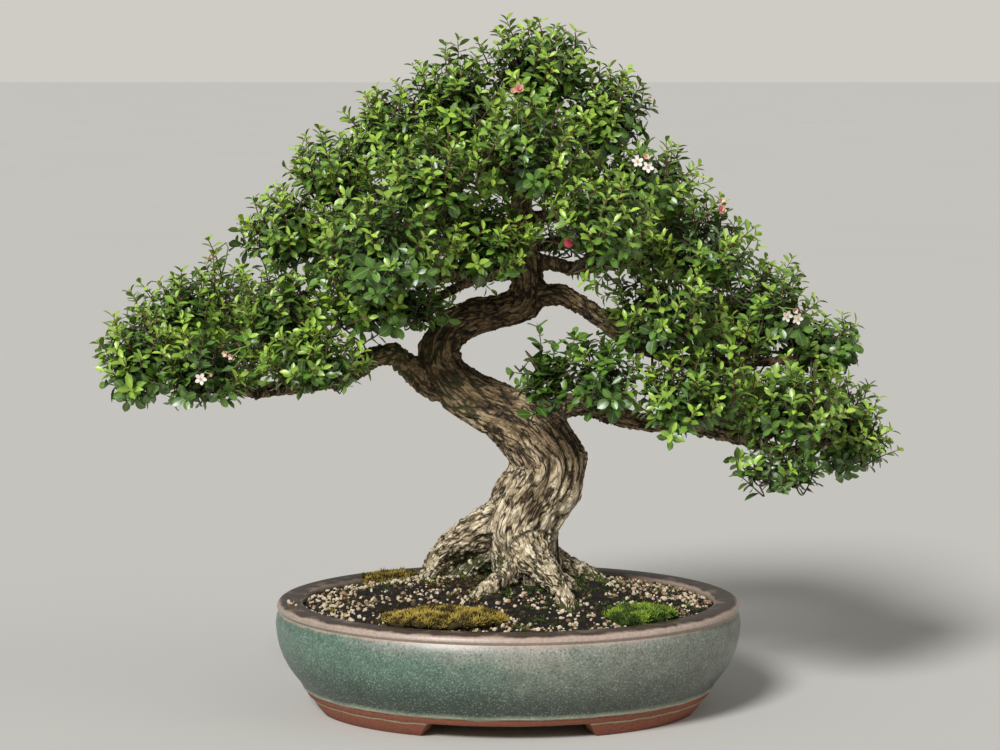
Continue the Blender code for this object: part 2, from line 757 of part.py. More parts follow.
def wooden_tube(name, finish, points, sides, step, ridged=True, grow=0.0):
    """A tapering limb with bark ridges that wind slowly along it, closed at both ends.

    With grow it is the hole that the soil keeps for it.
    """
    path = smooth_path(points, step)
    bm = bmesh.new()
    rings = []
    side = Vector((0, 1, 0))
    travelled = 0.0
    for i, (place, radius) in enumerate(path):
        ahead = path[min(i + 1, len(path) - 1)][0] - path[max(i - 1, 0)][0]
        along = ahead.normalized()
        side = (side - along * side.dot(along)).normalized()
        up = along.cross(side)
        if i:
            travelled += (place - path[i - 1][0]).length
        if i in (0, len(path) - 1):
            place = place + along * (grow if i else -grow)
        ring = []
        for k in range(sides):
            angle = math.tau * k / sides
            outwards = side * math.cos(angle) + up * math.sin(angle)
            bark = 0.0
            if ridged:
                bark = BARK_DEPTH * math.cos(BARK_RIDGES * angle + BARK_TWIST * travelled)
                bark += BARK_LUMPS * noise.noise(place * BARK_LUMP_PITCH + outwards)
            ring.append(bm.verts.new(place + outwards * (radius * (1 + bark) + grow)))
        rings.append(ring)
    for one, other in zip(rings, rings[1:]):
        skin(bm, one, other)
    bm.faces.new(rings[0])
    bm.faces.new(rings[-1])
    bmesh.ops.triangulate(bm, faces=bm.faces[:])
    return object_from(bm, name, finish)


def trunk_tube(finish, points, grow=0.0):
    return wooden_tube("trunk_and_limbs", finish, points, TRUNK_SIDES, TRUNK_STEP, True, grow)


def root_tubes(finish, grow=0.0):
    return [
        wooden_tube(name, finish, points, ROOT_SIDES, ROOT_STEP, True, grow)
        for name, points in ROOTS.items()
    ]


def limb_tubes(finish, grow=0.0, near=None):
    """The limbs, or only those that come near a spray."""
    return [
        wooden_tube(name, finish, points, LIMB_SIDES, LIMB_STEP, False, grow)
        for name, points in LIMBS.items()
        if near is None or passes_near(near, points, LIMB_STEP)
    ]


def passes_near(spray, points, step):
    """True if a limb along these points comes close enough to the spray to run through its core."""
    fine_path = smooth_path(points, step / PATH_FINENESS)
    return any(spray_share(spray, place) < 1 for place, _ in fine_path)


def build_wood(finish):
    """Roots, trunk and limbs, grown as one piece. Each limb runs on into the spray that it bears."""
    wood = trunk_tube(finish, TRUNK)
    combine(wood, root_tubes(finish) + limb_tubes(finish), "UNION")
    return wood


def spray_share(name, point):
    """How far out in the spray a point lies: 0 at its middle and 1 at its leaf tips."""
    x, y, z, *half = SPRAYS[name]
    return math.hypot(*((p - c) / h for p, c, h in zip(point, (x, y, z), half)))


def core_point(name, direction):
    """Where the spray's core ends in this direction. It gives way halfway to a neighbour."""
    x, y, z, *half = SPRAYS[name]
    centre = Vector((x, y, z))
    outwards = Vector([d * h for d, h in zip(direction, half)])
    lump = 2 * noise.cell(direction * CORE_LUMP_PITCH + centre * CORE_SEED_PITCH) - 1
    share = CORE_SHARE * (1 + CORE_LUMPS * lump)
    others = [other for other in SPRAYS if other != name]
    while share > CORE_LEAST_SHARE:
        point = centre + outwards * share
        if all(spray_share(other, point) > share + CORE_MARGIN for other in others):
            break
        share -= CORE_STEP_BACK
    return centre + outwards * share


def spray_core(name, finish, grow=0.0):
    """The lumpy heart of a spray, its twigs and inner leaves, which the rosettes stand out of."""
    bm = bmesh.new()
    bmesh.ops.create_icosphere(bm, subdivisions=CORE_SUBDIVISIONS, radius=1.0)
    for v in bm.verts:
        v.co = core_point(name, v.co)
    bm.normal_update()
    for v in bm.verts:
        v.co += v.normal * grow
    return object_from(bm, name, finish)


def whorl(length, stalk_end, spin, lift, count, half_width, widest, thick, eye_share, eye_dome):
    """A whorl of leaves or petals round a stalk, as a bmesh.

    Its eye is at the origin and it faces +Z. Each blade rises by its lift for each unit of its length.
    """
    bm = bmesh.new()
    eye = eye_share * length
    notches = [
        bm.verts.new(
            (
                eye * math.cos(spin + math.tau * (i - 0.5) / count),
                eye * math.sin(spin + math.tau * (i - 0.5) / count),
                0,
            )
        )
        for i in range(count)
    ]
    top = bm.verts.new((0, 0, eye_dome))
    bottom = bm.verts.new((0, 0, -stalk_end))
    for i in range(count):
        angle = spin + math.tau * i / count
        along = Vector((math.cos(angle), math.sin(angle), 0))
        across = Vector((-math.sin(angle), math.cos(angle), 0))
        rise = Vector((0, 0, lift[i % len(lift)]))
        start = (notches[i].co + notches[(i + 1) % count].co) / 2
        blade = along + rise
        reach = blade * (length - eye)
        wide = start + reach * widest
        left = bm.verts.new(wide - across * half_width)
        right = bm.verts.new(wide + across * half_width)
        tip = bm.verts.new(start + reach)
        rib = bm.verts.new(start + reach * widest * RIB_PLACE + Vector((0, 0, thick)))
        one, other = notches[i], notches[(i + 1) % count]
        rim = (top, one, left, tip, right, other, top)
        for a, b in zip(rim, rim[1:]):
            bm.faces.new((a, b, rib))
        bm.faces.new((one, tip, left))
        bm.faces.new((one, other, tip))
        bm.faces.new((other, right, tip))
        bm.faces.new((bottom, other, one))
    return bm


def facing(direction):
    return Vector(direction).to_track_quat("Z", "Y").to_matrix().to_4x4()


def spread_directions(count, turn):
    """Directions spread evenly over a ball."""
    for i in range(count):
        z = 1 - 2 * (i + 0.5) / count
        angle = turn + i * math.pi * (3 - math.sqrt(5))
        flat = math.sqrt(1 - z * z)
        yield Vector((flat * math.cos(angle), flat * math.sin(angle), z))


def next_direction(left, used, first):
    """The first direction is the one nearest to that in use, and each later one the farthest from all."""
    nearness = [max(d.dot(u) for u in used) for d in left]
    return left[nearness.index(max(nearness) if first else min(nearness))]


def swollen_tree(bm, scale):
    """A search tree of the faces, swollen about their middle for a clearance."""
    copy = bm.copy()
    middle = sum((v.co for v in copy.verts), Vector()) / len(copy.verts)
    for v in copy.verts:
        v.co = middle + (v.co - middle) * scale
    made = BVHTree.FromBMesh(copy)
    copy.free()
    return made


def object_tree(obj, scale=1.0):
    bm = bmesh.new()
    bm.from_mesh(obj.data)
    made = swollen_tree(bm, scale)
    bm.free()
    return made


def surface_towards(core_tree, name, direction):
    """Where a line from the spray's middle in this direction leaves its core, and the face's normal."""
    centre = Vector(SPRAYS[name][:3])
    far = centre + direction * RAY_REACH
    place, normal, _, _ = core_tree.ray_cast(far, -direction)
    return place, normal


def stalk_and_seat(head, spray, direction, stalk_length, finish):
    """Gives a bloom or a berry its stalk, and seats the stalk on its spray's core."""
    stalk = cylinder(
        "stalk", finish, (0, 0, -stalk_length / 2), STALK_RADIUS, stalk_length, STALK_SIDES
    )
    combine(head, [stalk], "UNION")
    core = spray_core(spray, finish, SEAT_GAP)
    place, normal = surface_towards(object_tree(core), spray, Vector(direction).normalized())
    above = stalk_length - STALK_SEAT
    head.data.transform(Matrix.Translation(place + normal * above) @ facing(normal))
    combine(head, [core], "DIFFERENCE")


def build_bloom(name, finish):
    """A five-petalled bloom on its stalk."""
    spray, direction, stalk = BLOOMS[name]
    bm = whorl(PETAL_LENGTH, BLOOM_CUP, 0.0, PETAL_RISE, **BLOOM_SHAPE)
    bloom = object_from(bm, name, finish)
    stalk_and_seat(bloom, spray, direction, stalk, finish)
    return bloom


def build_berry(finish):
    """The one ripe berry, on its short stalk."""
    bm = bmesh.new()
    bmesh.ops.create_uvsphere(bm, u_segments=8, v_segments=5, radius=BERRY_RADIUS)
    berry = object_from(bm, "berry", finish)
    stalk_and_seat(berry, BERRY_SPRAY, BERRY_FACES, BERRY_STALK, finish)
    return berry


def rosette(place, direction, draw):
    """A whorl of leaves whose stalk is sunk in the spray's core."""
    above = draw.uniform(*STALK_ABOVE)
    length = draw.uniform(*LEAF_LENGTHS)
    spin = draw.uniform(0, math.tau)
    lift = [draw.uniform(*LEAF_RISE) for _ in range(ROSETTE_SHAPE["count"])]
    bm = whorl(length, above + STALK_SUNK, spin, lift, **ROSETTE_SHAPE)
    bmesh.ops.transform(
        bm,
        matrix=Matrix.Translation(place + direction * above) @ facing(direction),
        verts=bm.verts[:],
    )
    return bm


def inside_a_core(point, but):
    """True if the point lies in the core of another spray."""
    return any(spray_share(name, point) < CORE_SHARE for name in SPRAYS if name != but)


def core_round_wood(name, finish):
    """The spray's heart, with room in it for the limbs that run into it or through it."""
    core = spray_core(name, finish)
    limbs = limb_tubes(finish, GROWN_GAP, name)
    if passes_near(name, TRUNK, TRUNK_STEP):
        limbs.append(trunk_tube(finish, TRUNK, GROWN_GAP))
    if limbs:
        combine(core, limbs, "DIFFERENCE")
    return core


def build_sprays(finish, fixed):
    """Each spray is its core with rosettes standing out, clear of the wood, the blooms and one another."""
    draw = random.Random(ROSETTE_SEED)
    cores = {name: core_round_wood(name, finish) for name in SPRAYS}
    taken = {name: [object_tree(core)] for name, core in cores.items()}
    for name, core in cores.items():
        core_tree = taken[name][0]
        others = fixed + [t for other, trees in taken.items() if other != name for t in trees]
        placed = []
        left = list(spread_directions(ROSETTE_TRIES, draw.uniform(0, math.tau)))
        used = [(Vector(SPRAYS[name][:3]) - CROWN_MIDDLE).normalized()]
        small = SPRAYS[name][5] < SMALL_HALF_HEIGHT
        wanted = ROSETTES_ON_SMALL if small else ROSETTES_PER_SPRAY
        while left and len(placed) < wanted:
            direction = next_direction(left, used, not placed)
            left.remove(direction)
            place, normal = surface_towards(core_tree, name, direction)
            if place is None:
                continue
            towards = (normal + Vector((0, 0, ROSETTE_UPTURN))).normalized()
            bm = rosette(place, towards, draw)
            swollen = swollen_tree(bm, CLEARANCE_SCALE)
            eye = place + towards * STALK_ABOVE[0]
            if (
                any(swollen.overlap(tree) for tree in others)
                or any(swollen.overlap(tree) for tree in taken[name][1:])
                or inside_a_core(eye, name)
            ):
                bm.free()
                continue
            used.append(direction)
            taken[name].append(swollen_tree(bm, 1.0))
            placed.append(object_from(bm, "rosette", finish))
        combine(core, placed, "UNION")


def main():
    clear_scene()
    glaze = material("glazed_stoneware", (0.14, 0.25, 0.21), 0.35)
    grit = material("gritty_soil", (0.16, 0.12, 0.08), 0.95)
    bark = material("bark", (0.36, 0.28, 0.19), 0.85)
    leaf = material("leaf", (0.13, 0.30, 0.03), 0.45)
    petal = material("petal", (0.85, 0.76, 0.72), 0.55)
    berry = material("berry_skin", (0.62, 0.09, 0.10), 0.35)
    moss = material("moss", (0.20, 0.24, 0.03), 0.95)
    plastic = material("black_plastic", (0.02, 0.02, 0.02), 0.5)

    build_pot(glaze)
    build_drain_mesh("drain_mesh_left", -DRAIN_X, plastic)
    build_drain_mesh("drain_mesh_right", DRAIN_X, plastic)

    wood = build_wood(bark)
    hollows = root_tubes(bark, GROWN_GAP)
    hollows.append(trunk_tube(bark, TRUNK[:TRUNK_POINTS_IN_SOIL], GROWN_GAP))
    hollows += [build_moss(name, moss, GROWN_GAP) for name in MOSS]
    build_soil(grit, hollows)
    for name in MOSS:
        build_moss(name, moss)

    blooms = [build_bloom(name, petal) for name in BLOOMS]
    blooms.append(build_berry(berry))
    clearances = [object_tree(bloom, CLEARANCE_SCALE) for bloom in blooms]
    build_sprays(leaf, [object_tree(wood)] + clearances)


main()
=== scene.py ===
"""The looks of a potted bonsai of a small-leaved berry shrub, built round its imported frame.

Metres, +Z up, +X to the viewer's right and +Y away from the viewer, as in the frame.
"""

import math
import random

import bmesh
import bpy
from bpy.props import FloatProperty, FloatVectorProperty, IntProperty, PointerProperty
from mathutils import Matrix, Vector, noise
from mathutils.bvhtree import BVHTree
from mathutils.kdtree import KDTree


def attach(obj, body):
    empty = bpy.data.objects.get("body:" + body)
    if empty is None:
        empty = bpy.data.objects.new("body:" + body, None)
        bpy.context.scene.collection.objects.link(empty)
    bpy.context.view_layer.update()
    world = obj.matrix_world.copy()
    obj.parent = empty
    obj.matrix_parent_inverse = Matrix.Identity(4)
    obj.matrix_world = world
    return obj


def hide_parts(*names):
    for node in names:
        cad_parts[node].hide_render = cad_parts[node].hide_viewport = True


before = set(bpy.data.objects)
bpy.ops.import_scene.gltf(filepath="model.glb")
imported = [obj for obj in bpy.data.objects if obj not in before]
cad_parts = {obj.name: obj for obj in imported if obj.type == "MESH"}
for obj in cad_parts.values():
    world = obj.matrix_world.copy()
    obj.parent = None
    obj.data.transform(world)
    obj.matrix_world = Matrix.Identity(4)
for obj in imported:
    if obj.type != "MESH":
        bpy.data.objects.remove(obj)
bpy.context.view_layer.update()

bl_info = {
    "name": "Potted Berry Bonsai",
    "version": (1, 0, 0),
    "blender": (4, 5, 0),
    "location": "View3D > Sidebar > Bonsai",
    "description": "Finishes the frame of a potted bonsai: glazed pot, bark, leaves, moss and grit",
    "category": "Object",
}

BODY = "root"
MM = 0.001

# Pot: an oval of half length and half depth at the belly. A ring is (inset from the belly, height).
POT_HALF_LENGTH = 0.170
POT_HALF_DEPTH = 0.1325
FOOT_TOP = 0.011
POT_PROFILE = (
    (0.0440, 0.0112), (0.0290, 0.0110), (0.0237, 0.0112), (0.0226, 0.0120), (0.0212, 0.0148),
    (0.0208, 0.0160), (0.0190, 0.0172), (0.0186, 0.0190), (0.0166, 0.0222), (0.0127, 0.0272),
    (0.0088, 0.0328), (0.0053, 0.0395), (0.0025, 0.0470), (0.0007, 0.0555), (0.0000, 0.0635),
    (0.0008, 0.0690), (0.0024, 0.0722), (0.0030, 0.0733), (0.0019, 0.0743), (0.0010, 0.0756),
    (0.0014, 0.0776), (0.0030, 0.0793), (0.0052, 0.0800), (0.0176, 0.0797), (0.0190, 0.0791),
    (0.0196, 0.0778), (0.0194, 0.0744), (0.0160, 0.0704), (0.0110, 0.0640), (0.0140, 0.0450),
    (0.0230, 0.0260), (0.0300, 0.0197), (0.0400, 0.0195),
)
FOOT_ARC_DEG = (17.0, 67.0)
FOOT_TAPER_DEG = 3.5
FOOT_STEPS = 18
FOOT_SECTION = (
    (0.0222, 0.0130), (0.0440, 0.0130), (0.0424, 0.0010), (0.0414, 0.0000), (0.0316, 0.0000),
    (0.0303, 0.0008), (0.0262, 0.0060), (0.0236, 0.0105),
)
DRAIN_X = 0.070
DRAIN_RADIUS = 0.009
DRAIN_CUT = 0.026
LIP_INSET = 0.0195

# Lines that the bark's grain follows: points of (x, y, z, radius), thick end first.
GRAIN_LINES = {
    "trunk": (
        (0.014, 0.002, 0.068, 0.0240), (0.013, 0.000, 0.112, 0.0235), (0.009, 0.000, 0.133, 0.0272),
        (0.0165, -0.002, 0.152, 0.0272), (0.031, -0.005, 0.181, 0.0272),
        (0.022, -0.005, 0.197, 0.0256), (0.006, -0.004, 0.212, 0.0228),
        (-0.015, -0.002, 0.223, 0.0188), (-0.035, 0.000, 0.234, 0.0170),
        (-0.048, 0.003, 0.248, 0.0158), (-0.050, 0.005, 0.264, 0.0148),
        (-0.041, 0.007, 0.278, 0.0134), (-0.024, 0.006, 0.287, 0.0122),
        (-0.004, 0.004, 0.291, 0.0116), (0.011, 0.002, 0.296, 0.0132),
        (0.0145, 0.001, 0.311, 0.0112), (0.009, 0.000, 0.357, 0.0076),
        (0.022, 0.002, 0.415, 0.0046), (0.023, 0.000, 0.466, 0.0028),
    ),
    "root_front": (
        (0.012, -0.006, 0.132, 0.0185), (0.0195, -0.026, 0.113, 0.0142),
        (0.029, -0.036, 0.104, 0.0110), (0.042, -0.056, 0.088, 0.0066),
        (0.042, -0.066, 0.072, 0.0048),
    ),
    "root_left": (
        (-0.002, 0.000, 0.140, 0.0185), (-0.026, 0.008, 0.126, 0.0150),
        (-0.042, 0.018, 0.113, 0.0125), (-0.052, 0.026, 0.100, 0.0105),
        (-0.062, 0.037, 0.072, 0.0058),
    ),
    "root_left_under": (
        (0.002, 0.006, 0.122, 0.0140), (-0.016, 0.014, 0.108, 0.0130),
        (-0.044, 0.026, 0.074, 0.0070),
    ),
    "root_back_right": (
        (0.022, 0.006, 0.114, 0.0125), (0.044, 0.018, 0.100, 0.0080), (0.078, 0.011, 0.072, 0.0034),
    ),
    "limb_left": (
        (-0.030, 0.000, 0.232, 0.0120), (-0.055, -0.002, 0.236, 0.0110),
        (-0.071, -0.004, 0.250, 0.0098), (-0.083, -0.008, 0.261, 0.0088),
        (-0.097, -0.013, 0.259, 0.0080), (-0.128, -0.022, 0.243, 0.0066),
        (-0.195, -0.030, 0.239, 0.0046), (-0.256, -0.054, 0.258, 0.0026),
    ),
    "limb_right": (
        (0.013, 0.002, 0.302, 0.0098), (0.040, -0.004, 0.303, 0.0080),
        (0.086, -0.012, 0.270, 0.0060), (0.122, -0.014, 0.256, 0.0050),
        (0.200, -0.011, 0.256, 0.0034),
    ),
    "limb_low_right": (
        (0.020, 0.006, 0.208, 0.0120), (0.056, 0.012, 0.222, 0.0088),
        (0.100, -0.006, 0.210, 0.0068), (0.160, -0.014, 0.202, 0.0050),
        (0.228, 0.010, 0.190, 0.0034),
    ),
}
GRAIN_STEP = 0.002
# The grain follows a line within GRAIN_REACH radii of it. Plates grow with the limb up to a radius.
GRAIN_REACH = 1.7
GRAIN_APART = 0.7
THIN_RADIUS = 0.004
FULL_PLATE_RADIUS = 0.016
PLATE_STRETCH = 5.5
BROAD_PLATES = (2.4, 4.5)
CRUMB_SCALE = 420
BARK_MIX = (0.45, 0.48, 0.14)
BARK_LEVEL = 0.52
BARK_SMOOTHING = 5
# Moss on the bark: middle x, y, z and reach of each patch, and how much it covers.
BARK_MOSS = (
    (-0.060, -0.006, 0.262, 0.034, 0.32), (-0.036, 0.000, 0.292, 0.026, 0.28),
    (-0.090, -0.010, 0.256, 0.040, 0.45), (-0.036, -0.010, 0.228, 0.030, 0.35),
    (-0.022, 0.014, 0.098, 0.030, 0.90), (-0.004, -0.012, 0.100, 0.022, 0.75),
    (-0.030, -0.042, 0.084, 0.016, 0.70), (0.030, -0.034, 0.086, 0.018, 0.60),
    (0.066, 0.018, 0.090, 0.030, 0.50), (0.042, -0.064, 0.080, 0.012, 1.00),
    (-0.030, 0.050, 0.086, 0.030, 0.90),
)
# The healed scar on the bulge: x, y, z and reach.
SCAR = (0.058, -0.008, 0.174, 0.015)

# Foliage: how far each layer of shoots reaches in a spray, from 0 at its middle to 1 at its tips.
FOLIAGE_SEED = 4
CORE_FILL = 0.63
OUTER_REACH = (0.84, 1.01)
INNER_REACH = (0.50, 0.84)
HIDDEN_SHARE = 0.70
BRIDGES = 5
BRIDGE_REACH = (0.78, 1.22)
BRIDGE_SIZES = (0.9, 1.15)
SHOOT_SCATTER = 0.2
SHOOT_UPTURN = 0.85
SHOOT_SWAY = 0.30
RAGGED = 0.30
LEADER_TO_FRONT = -0.15
BLOOM_CLEARANCE = 0.012
# Shoots on a spray's underside are fewer, turn up less and bear darker, older leaves, partly painted shade.
# Some of the others are side shoots.
UNDERSIDE = -0.35
UNDERSIDE_GAPS = 0.35
UNDERSIDE_UPTURN = 0.55
SIDE_SHARE = 0.45
SHOOT_SIZES = (0.85, 1.15)
TWIG_ON_WOOD_MM = 0.9
TWIG_ON_TWIG_MM = 0.7
LEAF_VALUES = ("youth", "shade", "across", "under")
BLADE_MERGE = 0.0001
# A blade one metre long: half width, segments, how far out it is widest, fold, droop and thickness.
BLADES = {
    "fine": {"young": (0.20, 3, 1.15, 0.30, 0.50, 0.035), "grown": (0.24, 3, 1.25, 0.22, 0.30, 0.035)},
    "round": {"young": (0.27, 4, 1.30, 0.20, 0.25, 0.035), "grown": (0.32, 4, 1.35, 0.15, 0.30, 0.030)},
    "coarse": {"young": (0.27, 2, 1.10, 0.25, 0.0, 0.04), "grown": (0.33, 2, 1.20, 0.20, -0.15, 0.04)},
}
# A kind of shoot: variants, blades, pairs of leaves, their spacing, youth from foot to tip and scale.
SHOOTS = {
    "tip": (6, "fine", 5, 0.0052, (0.42, 1.0), 1.0),
    "side": (5, "fine", 3, 0.0050, (0.34, 0.86), 1.0),
    # Round shoots, used on undersides, have older, darker leaves, partly painted shade below the spray.
    "round": (3, "round", 2, 0.0060, (0.20, 0.42), 1.15),
    "shaded": (3, "round", 4, 0.0064, (0.15, 0.50), 1.12),
    # Inner shoots bear the oldest, darkest leaves, which are also painted shade inside the crown.
    "inner": (6, "coarse", 4, 0.0052, (0.0, 0.25), 1.0),
}
# A shoot's lean, its stem from foot to tip, its lowest leaves, and the tips of its two bud leaves.
SHOOT_LEAN = 0.25
STEM_RADIUS_MM = 0.62
STEM_TAPER_MM = 0.30
LOWEST_LEAVES = 0.14
YOUNG_FROM = 0.8
BUD_RISE = 1.15
BUD_SIZE = 0.34

# Sprays that are seen through, with the share of shoots that they bear.
SPARSE = {"spray_low_inner": 0.55, "spray_low_drop": 0.3, "spray_right_far_tip": 0.7}

# Shoots listed one by one. A tip is given by its pixel in the photograph's frame and its depth along Y, then
# the way that it grows (right, up) and how large it is.
LEADERS = {
    "spray_left_upper": (
        (216, 233, -0.024, -0.10, 1.0, 1.20), (218, 247, -0.024, 0.10, 1.0, 1.20),
        (223, 260, -0.024, -0.05, 1.0, 1.20), (160, 283, -0.020, -0.7, 0.7, 1.0),
        (183, 272, -0.010, -0.3, 0.9, 1.0), (243, 266, -0.020, 0.2, 1.0, 1.0),
    ),
    "spray_left_tip": (
        (93, 361, -0.060, -1.0, 0.35, 1.2), (103, 336, -0.056, -0.9, 0.6, 1.0),
        (140, 303, -0.050, -0.6, 0.9, 1.0),
    ),
    "spray_upper_left": (
        (262, 196, -0.020, -0.8, 0.5, 1.0), (276, 178, -0.010, -0.7, 0.7, 1.0),
        (243, 222, -0.014, -1.0, 0.3, 1.0),
    ),
    "spray_upper_left_high": ((300, 140, 0.0, -0.7, 0.8, 1.0), (345, 104, 0.0, -0.5, 0.9, 1.0)),
    "spray_left_crown": ((433, 62, 0.0, 0.0, 1.0, 1.1), (368, 92, 0.0, -0.4, 0.9, 1.0)),
    "spray_apex": (
        (549, 17, 0.0, 0.1, 1.0, 1.2), (519, 24, -0.01, -0.1, 1.0, 1.1),
        (475, 34, 0.0, -0.4, 0.9, 1.1),
    ),
    "spray_apex_right": ((648, 92, 0.0, 0.7, 0.8, 1.1), (612, 66, 0.0, 0.4, 0.9, 1.0)),
    "spray_upper_right": ((765, 234, 0.0, 0.7, 0.7, 1.1), (722, 190, -0.01, 0.5, 0.8, 1.0)),
    "spray_right_far": ((797, 294, -0.01, 0.3, 0.9, 1.0), (860, 322, 0.0, 0.9, 0.6, 1.1)),
    "spray_low_far_tip": ((889, 432, 0.03, 0.9, 0.35, 1.1), (875, 382, 0.03, 0.6, 0.8, 1.0)),
    "spray_low_drop": ((776, 494, -0.050, -0.1, -1.0, 1.0), (800, 476, -0.050, 0.5, -0.7, 0.9)),
    "spray_right_face": (
        (556, 168, -0.060, -0.3, 0.9, 1.0), (566, 186, -0.070, -0.5, 0.8, 1.0),
        (590, 152, -0.050, 0.1, 1.0, 1.0),
    ),
    "spray_left_front": ((258, 350, -0.060, 0.3, 0.9, 1.0), (262, 376, -0.060, 0.4, -0.5, 1.0)),
    "spray_left_mid": ((232, 262, -0.030, 0.1, 1.0, 1.0), (285, 262, -0.030, 0.1, 1.0, 1.0)),
    "spray_low_inner": (
        (546, 321, -0.060, 0.1, 1.0, 1.1), (523, 381, -0.070, -0.9, 0.4, 1.1),
        (548, 352, -0.075, -0.2, 1.0, 1.1), (541, 398, -0.075, -0.3, -0.5, 1.0),
        (565, 328, -0.070, 0.1, 1.0, 1.25), (560, 346, -0.072, 0.2, 1.0, 1.25),
        (553, 364, -0.074, -0.2, 1.0, 1.25), (527, 372, -0.072, -0.6, 0.8, 1.1),
        (515, 379, -0.070, -1.0, 0.3, 1.0), (558, 396, -0.076, 0.3, -0.4, 1.2),
        (590, 336, -0.060, 0.2, 1.0, 1.1), (607, 345, -0.060, 0.1, 1.0, 1.1),
        (508, 384, -0.070, -0.5, -0.1, 1.2), (531, 391, -0.076, -0.1, -0.1, 1.25),
        (547, 378, -0.078, 0.1, 0.3, 1.2), (554, 336, -0.066, 0.0, 0.4, 1.15),
    ),
    "spray_left_under": (
        (462, 288, -0.020, 0.6, -0.4, 1.1), (482, 291, -0.010, 0.5, -0.5, 1.1),
        (500, 288, 0.000, 0.6, -0.3, 1.0),
    ),
    "spray_right_mid": (
        (572, 283, 0.000, -0.5, -0.3, 1.0), (588, 290, -0.020, -0.5, -0.5, 1.1),
        (601, 302, -0.030, -0.6, -0.3, 1.1),
    ),
    "spray_centre": (
        (500, 190, -0.060, 0.0, 1.0, 1.0), (520, 212, -0.070, 0.3, 0.9, 1.0),
        (497, 262, -0.060, 0.4, 0.3, 1.0),
    ),
    "spray_right_back_high": (
        (537, 196, 0.050, -0.3, 0.9, 1.1), (550, 210, 0.045, -0.2, 0.9, 1.1),
        (541, 222, 0.040, -0.5, 0.6, 1.1), (560, 226, 0.040, 0.3, 0.8, 1.1),
        (533, 236, 0.040, -0.6, 0.2, 1.0),
    ),
    "spray_left_back_high": (
        (505, 196, 0.045, 0.3, 0.9, 1.1), (496, 216, 0.040, 0.4, 0.6, 1.1),
        (508, 232, 0.040, 0.4, 0.2, 1.0),
    ),
}

# Blooms: what each node's cluster holds. Each head is (kind, right, up, towards the viewer) in mm.
BLOOM_HEADS = {
    "bloom_left": (("open", 0.0, 0.0, 0.0), ("bud", 7.0, 2.5, -2.0)),
    "bloom_left_inner": (("closed", -1.5, 0.0, 0.0), ("closed", 2.5, -2.0, 1.0)),
    "bloom_left_sprout": (("bud", -1.5, 0.0, 0.0), ("bud", 3.0, 1.0, 0.0)),
    "bloom_apex": (("rose", 0.0, 0.0, 0.0), ("closed", -4.0, -1.5, 0.0)),
    "bloom_apex_right": (("bud", 0.0, 0.0, 0.0),),
    "bloom_upper_right": (("open", -3.0, 1.0, 0.0), ("closed", 3.0, 4.0, 0.0), ("open", 4.5, -3.0, -1.0)),
    "bloom_right_edge": (("rose", 0.0, -3.0, 0.0), ("closed", 0.0, 3.5, 0.0)),
    "bloom_far_right": (("open", -3.0, -1.0, 0.0), ("closed", 2.0, 3.5, 0.0), ("open", 4.5, -3.0, -1.0)),
}

# Grit and crumbs on the soil: (name, how many, smallest and largest size).
GRIT_SEED = 21
GRIT_KINDS = (("pale", 2100, 0.0020, 0.0050), ("dark", 2000, 0.0018, 0.0042))
GRIT_VARIANTS = 6
GRIT_FROM_Z = 0.125
GRIT_LOWEST_Z = 0.0715
GRIT_REACH = 0.985
GRIT_STANDS = 0.12
CRUMB_RELIEF = 0.0011
# Grains listed one by one, the spilled ones on the lip and a pinkish pebble: x, y, z, size and paleness.
LOOSE_GRAINS = (
    (-0.1590, -0.020, 0.0812, 0.0040, 0.70), (-0.1570, -0.025, 0.0810, 0.0030, 0.55),
    (-0.1555, -0.021, 0.0808, 0.0034, 0.30), (-0.1530, -0.030, 0.0808, 0.0026, 0.80),
    (0.0945, 0.015, 0.0850, 0.0098, 0.55),
)

# Moss: the two kinds, which one each cushion is, and how far flecks spread from roots and cushions.
DRY, GREEN = 0, 1
MOSS_NODES = {"moss_cushion_left": DRY, "moss_cushion_right": GREEN, "moss_cushion_back": DRY}
MOSS_SEED = 9
MOSS_MESH = 0.0024
MOSS_LUMP = 0.0020
MOSS_TUFTS_PER_SEAT = 1.2
MOSS_FLECKS = 4800
FLECK_REACH = 0.97
DRIFT_MOSS = 0.35
BARE_MOSS = 0.03
ROOT_MOSS_REACH = 0.008
CUSHION_MOSS_REACH = 0.006

# A flower's stages: how far its petals rise, how pink they are and their size.
STAGES = {
    "open": (0.22, 0.0, 1.0),
    "closed": (0.95, 0.25, 0.85),
    "rose": (0.75, 1.0, 1.1),
    "bud": (1.30, 0.55, 0.7),
}
BLOOM_SEED = 3
BERRY_RADIUS = 0.0034
CROWN_MIDDLE = Vector((0.0, 0.0, 0.33))
FLOOR_REACH = 30.0

# Camera, set to the photograph's frame of 1000 by 750 pixels.
CAMERA_PLACE = (-0.006, -1.96, 0.485)
CAMERA_PITCH_DEG = 83.0
CAMERA_LENS_MM = 98.1
CAMERA_SENSOR_MM = 36.0
FRAME_PIXELS = (1000, 750)


def linear(code):
    """A colour written as sRGB hex, as linear red, green, blue and alpha."""
    channels = [int(code[i : i + 2], 16) / 255 for i in (1, 3, 5)]
    return tuple(c / 12.92 if c <= 0.04045 else ((c + 0.055) / 1.055) ** 2.4 for c in channels) + (1.0,)


def colour(name, description, code):
    """A colour that a user can change, its default written as sRGB hex."""
    return FloatVectorProperty(
        name=name,
        description=description,
        subtype="COLOR",
        size=4,
        min=0.0,
        max=1.0,
        default=linear(code),
    )


def length(name, description, metres):
    """A length that a user can change."""
    return FloatProperty(
        name=name, description=description, unit="LENGTH", min=0.0, precision=4, default=metres
    )


def strength(name, description, value):
    """A strength of light that a user can change."""
    return FloatProperty(name=name, description=description, min=0.0, default=value)


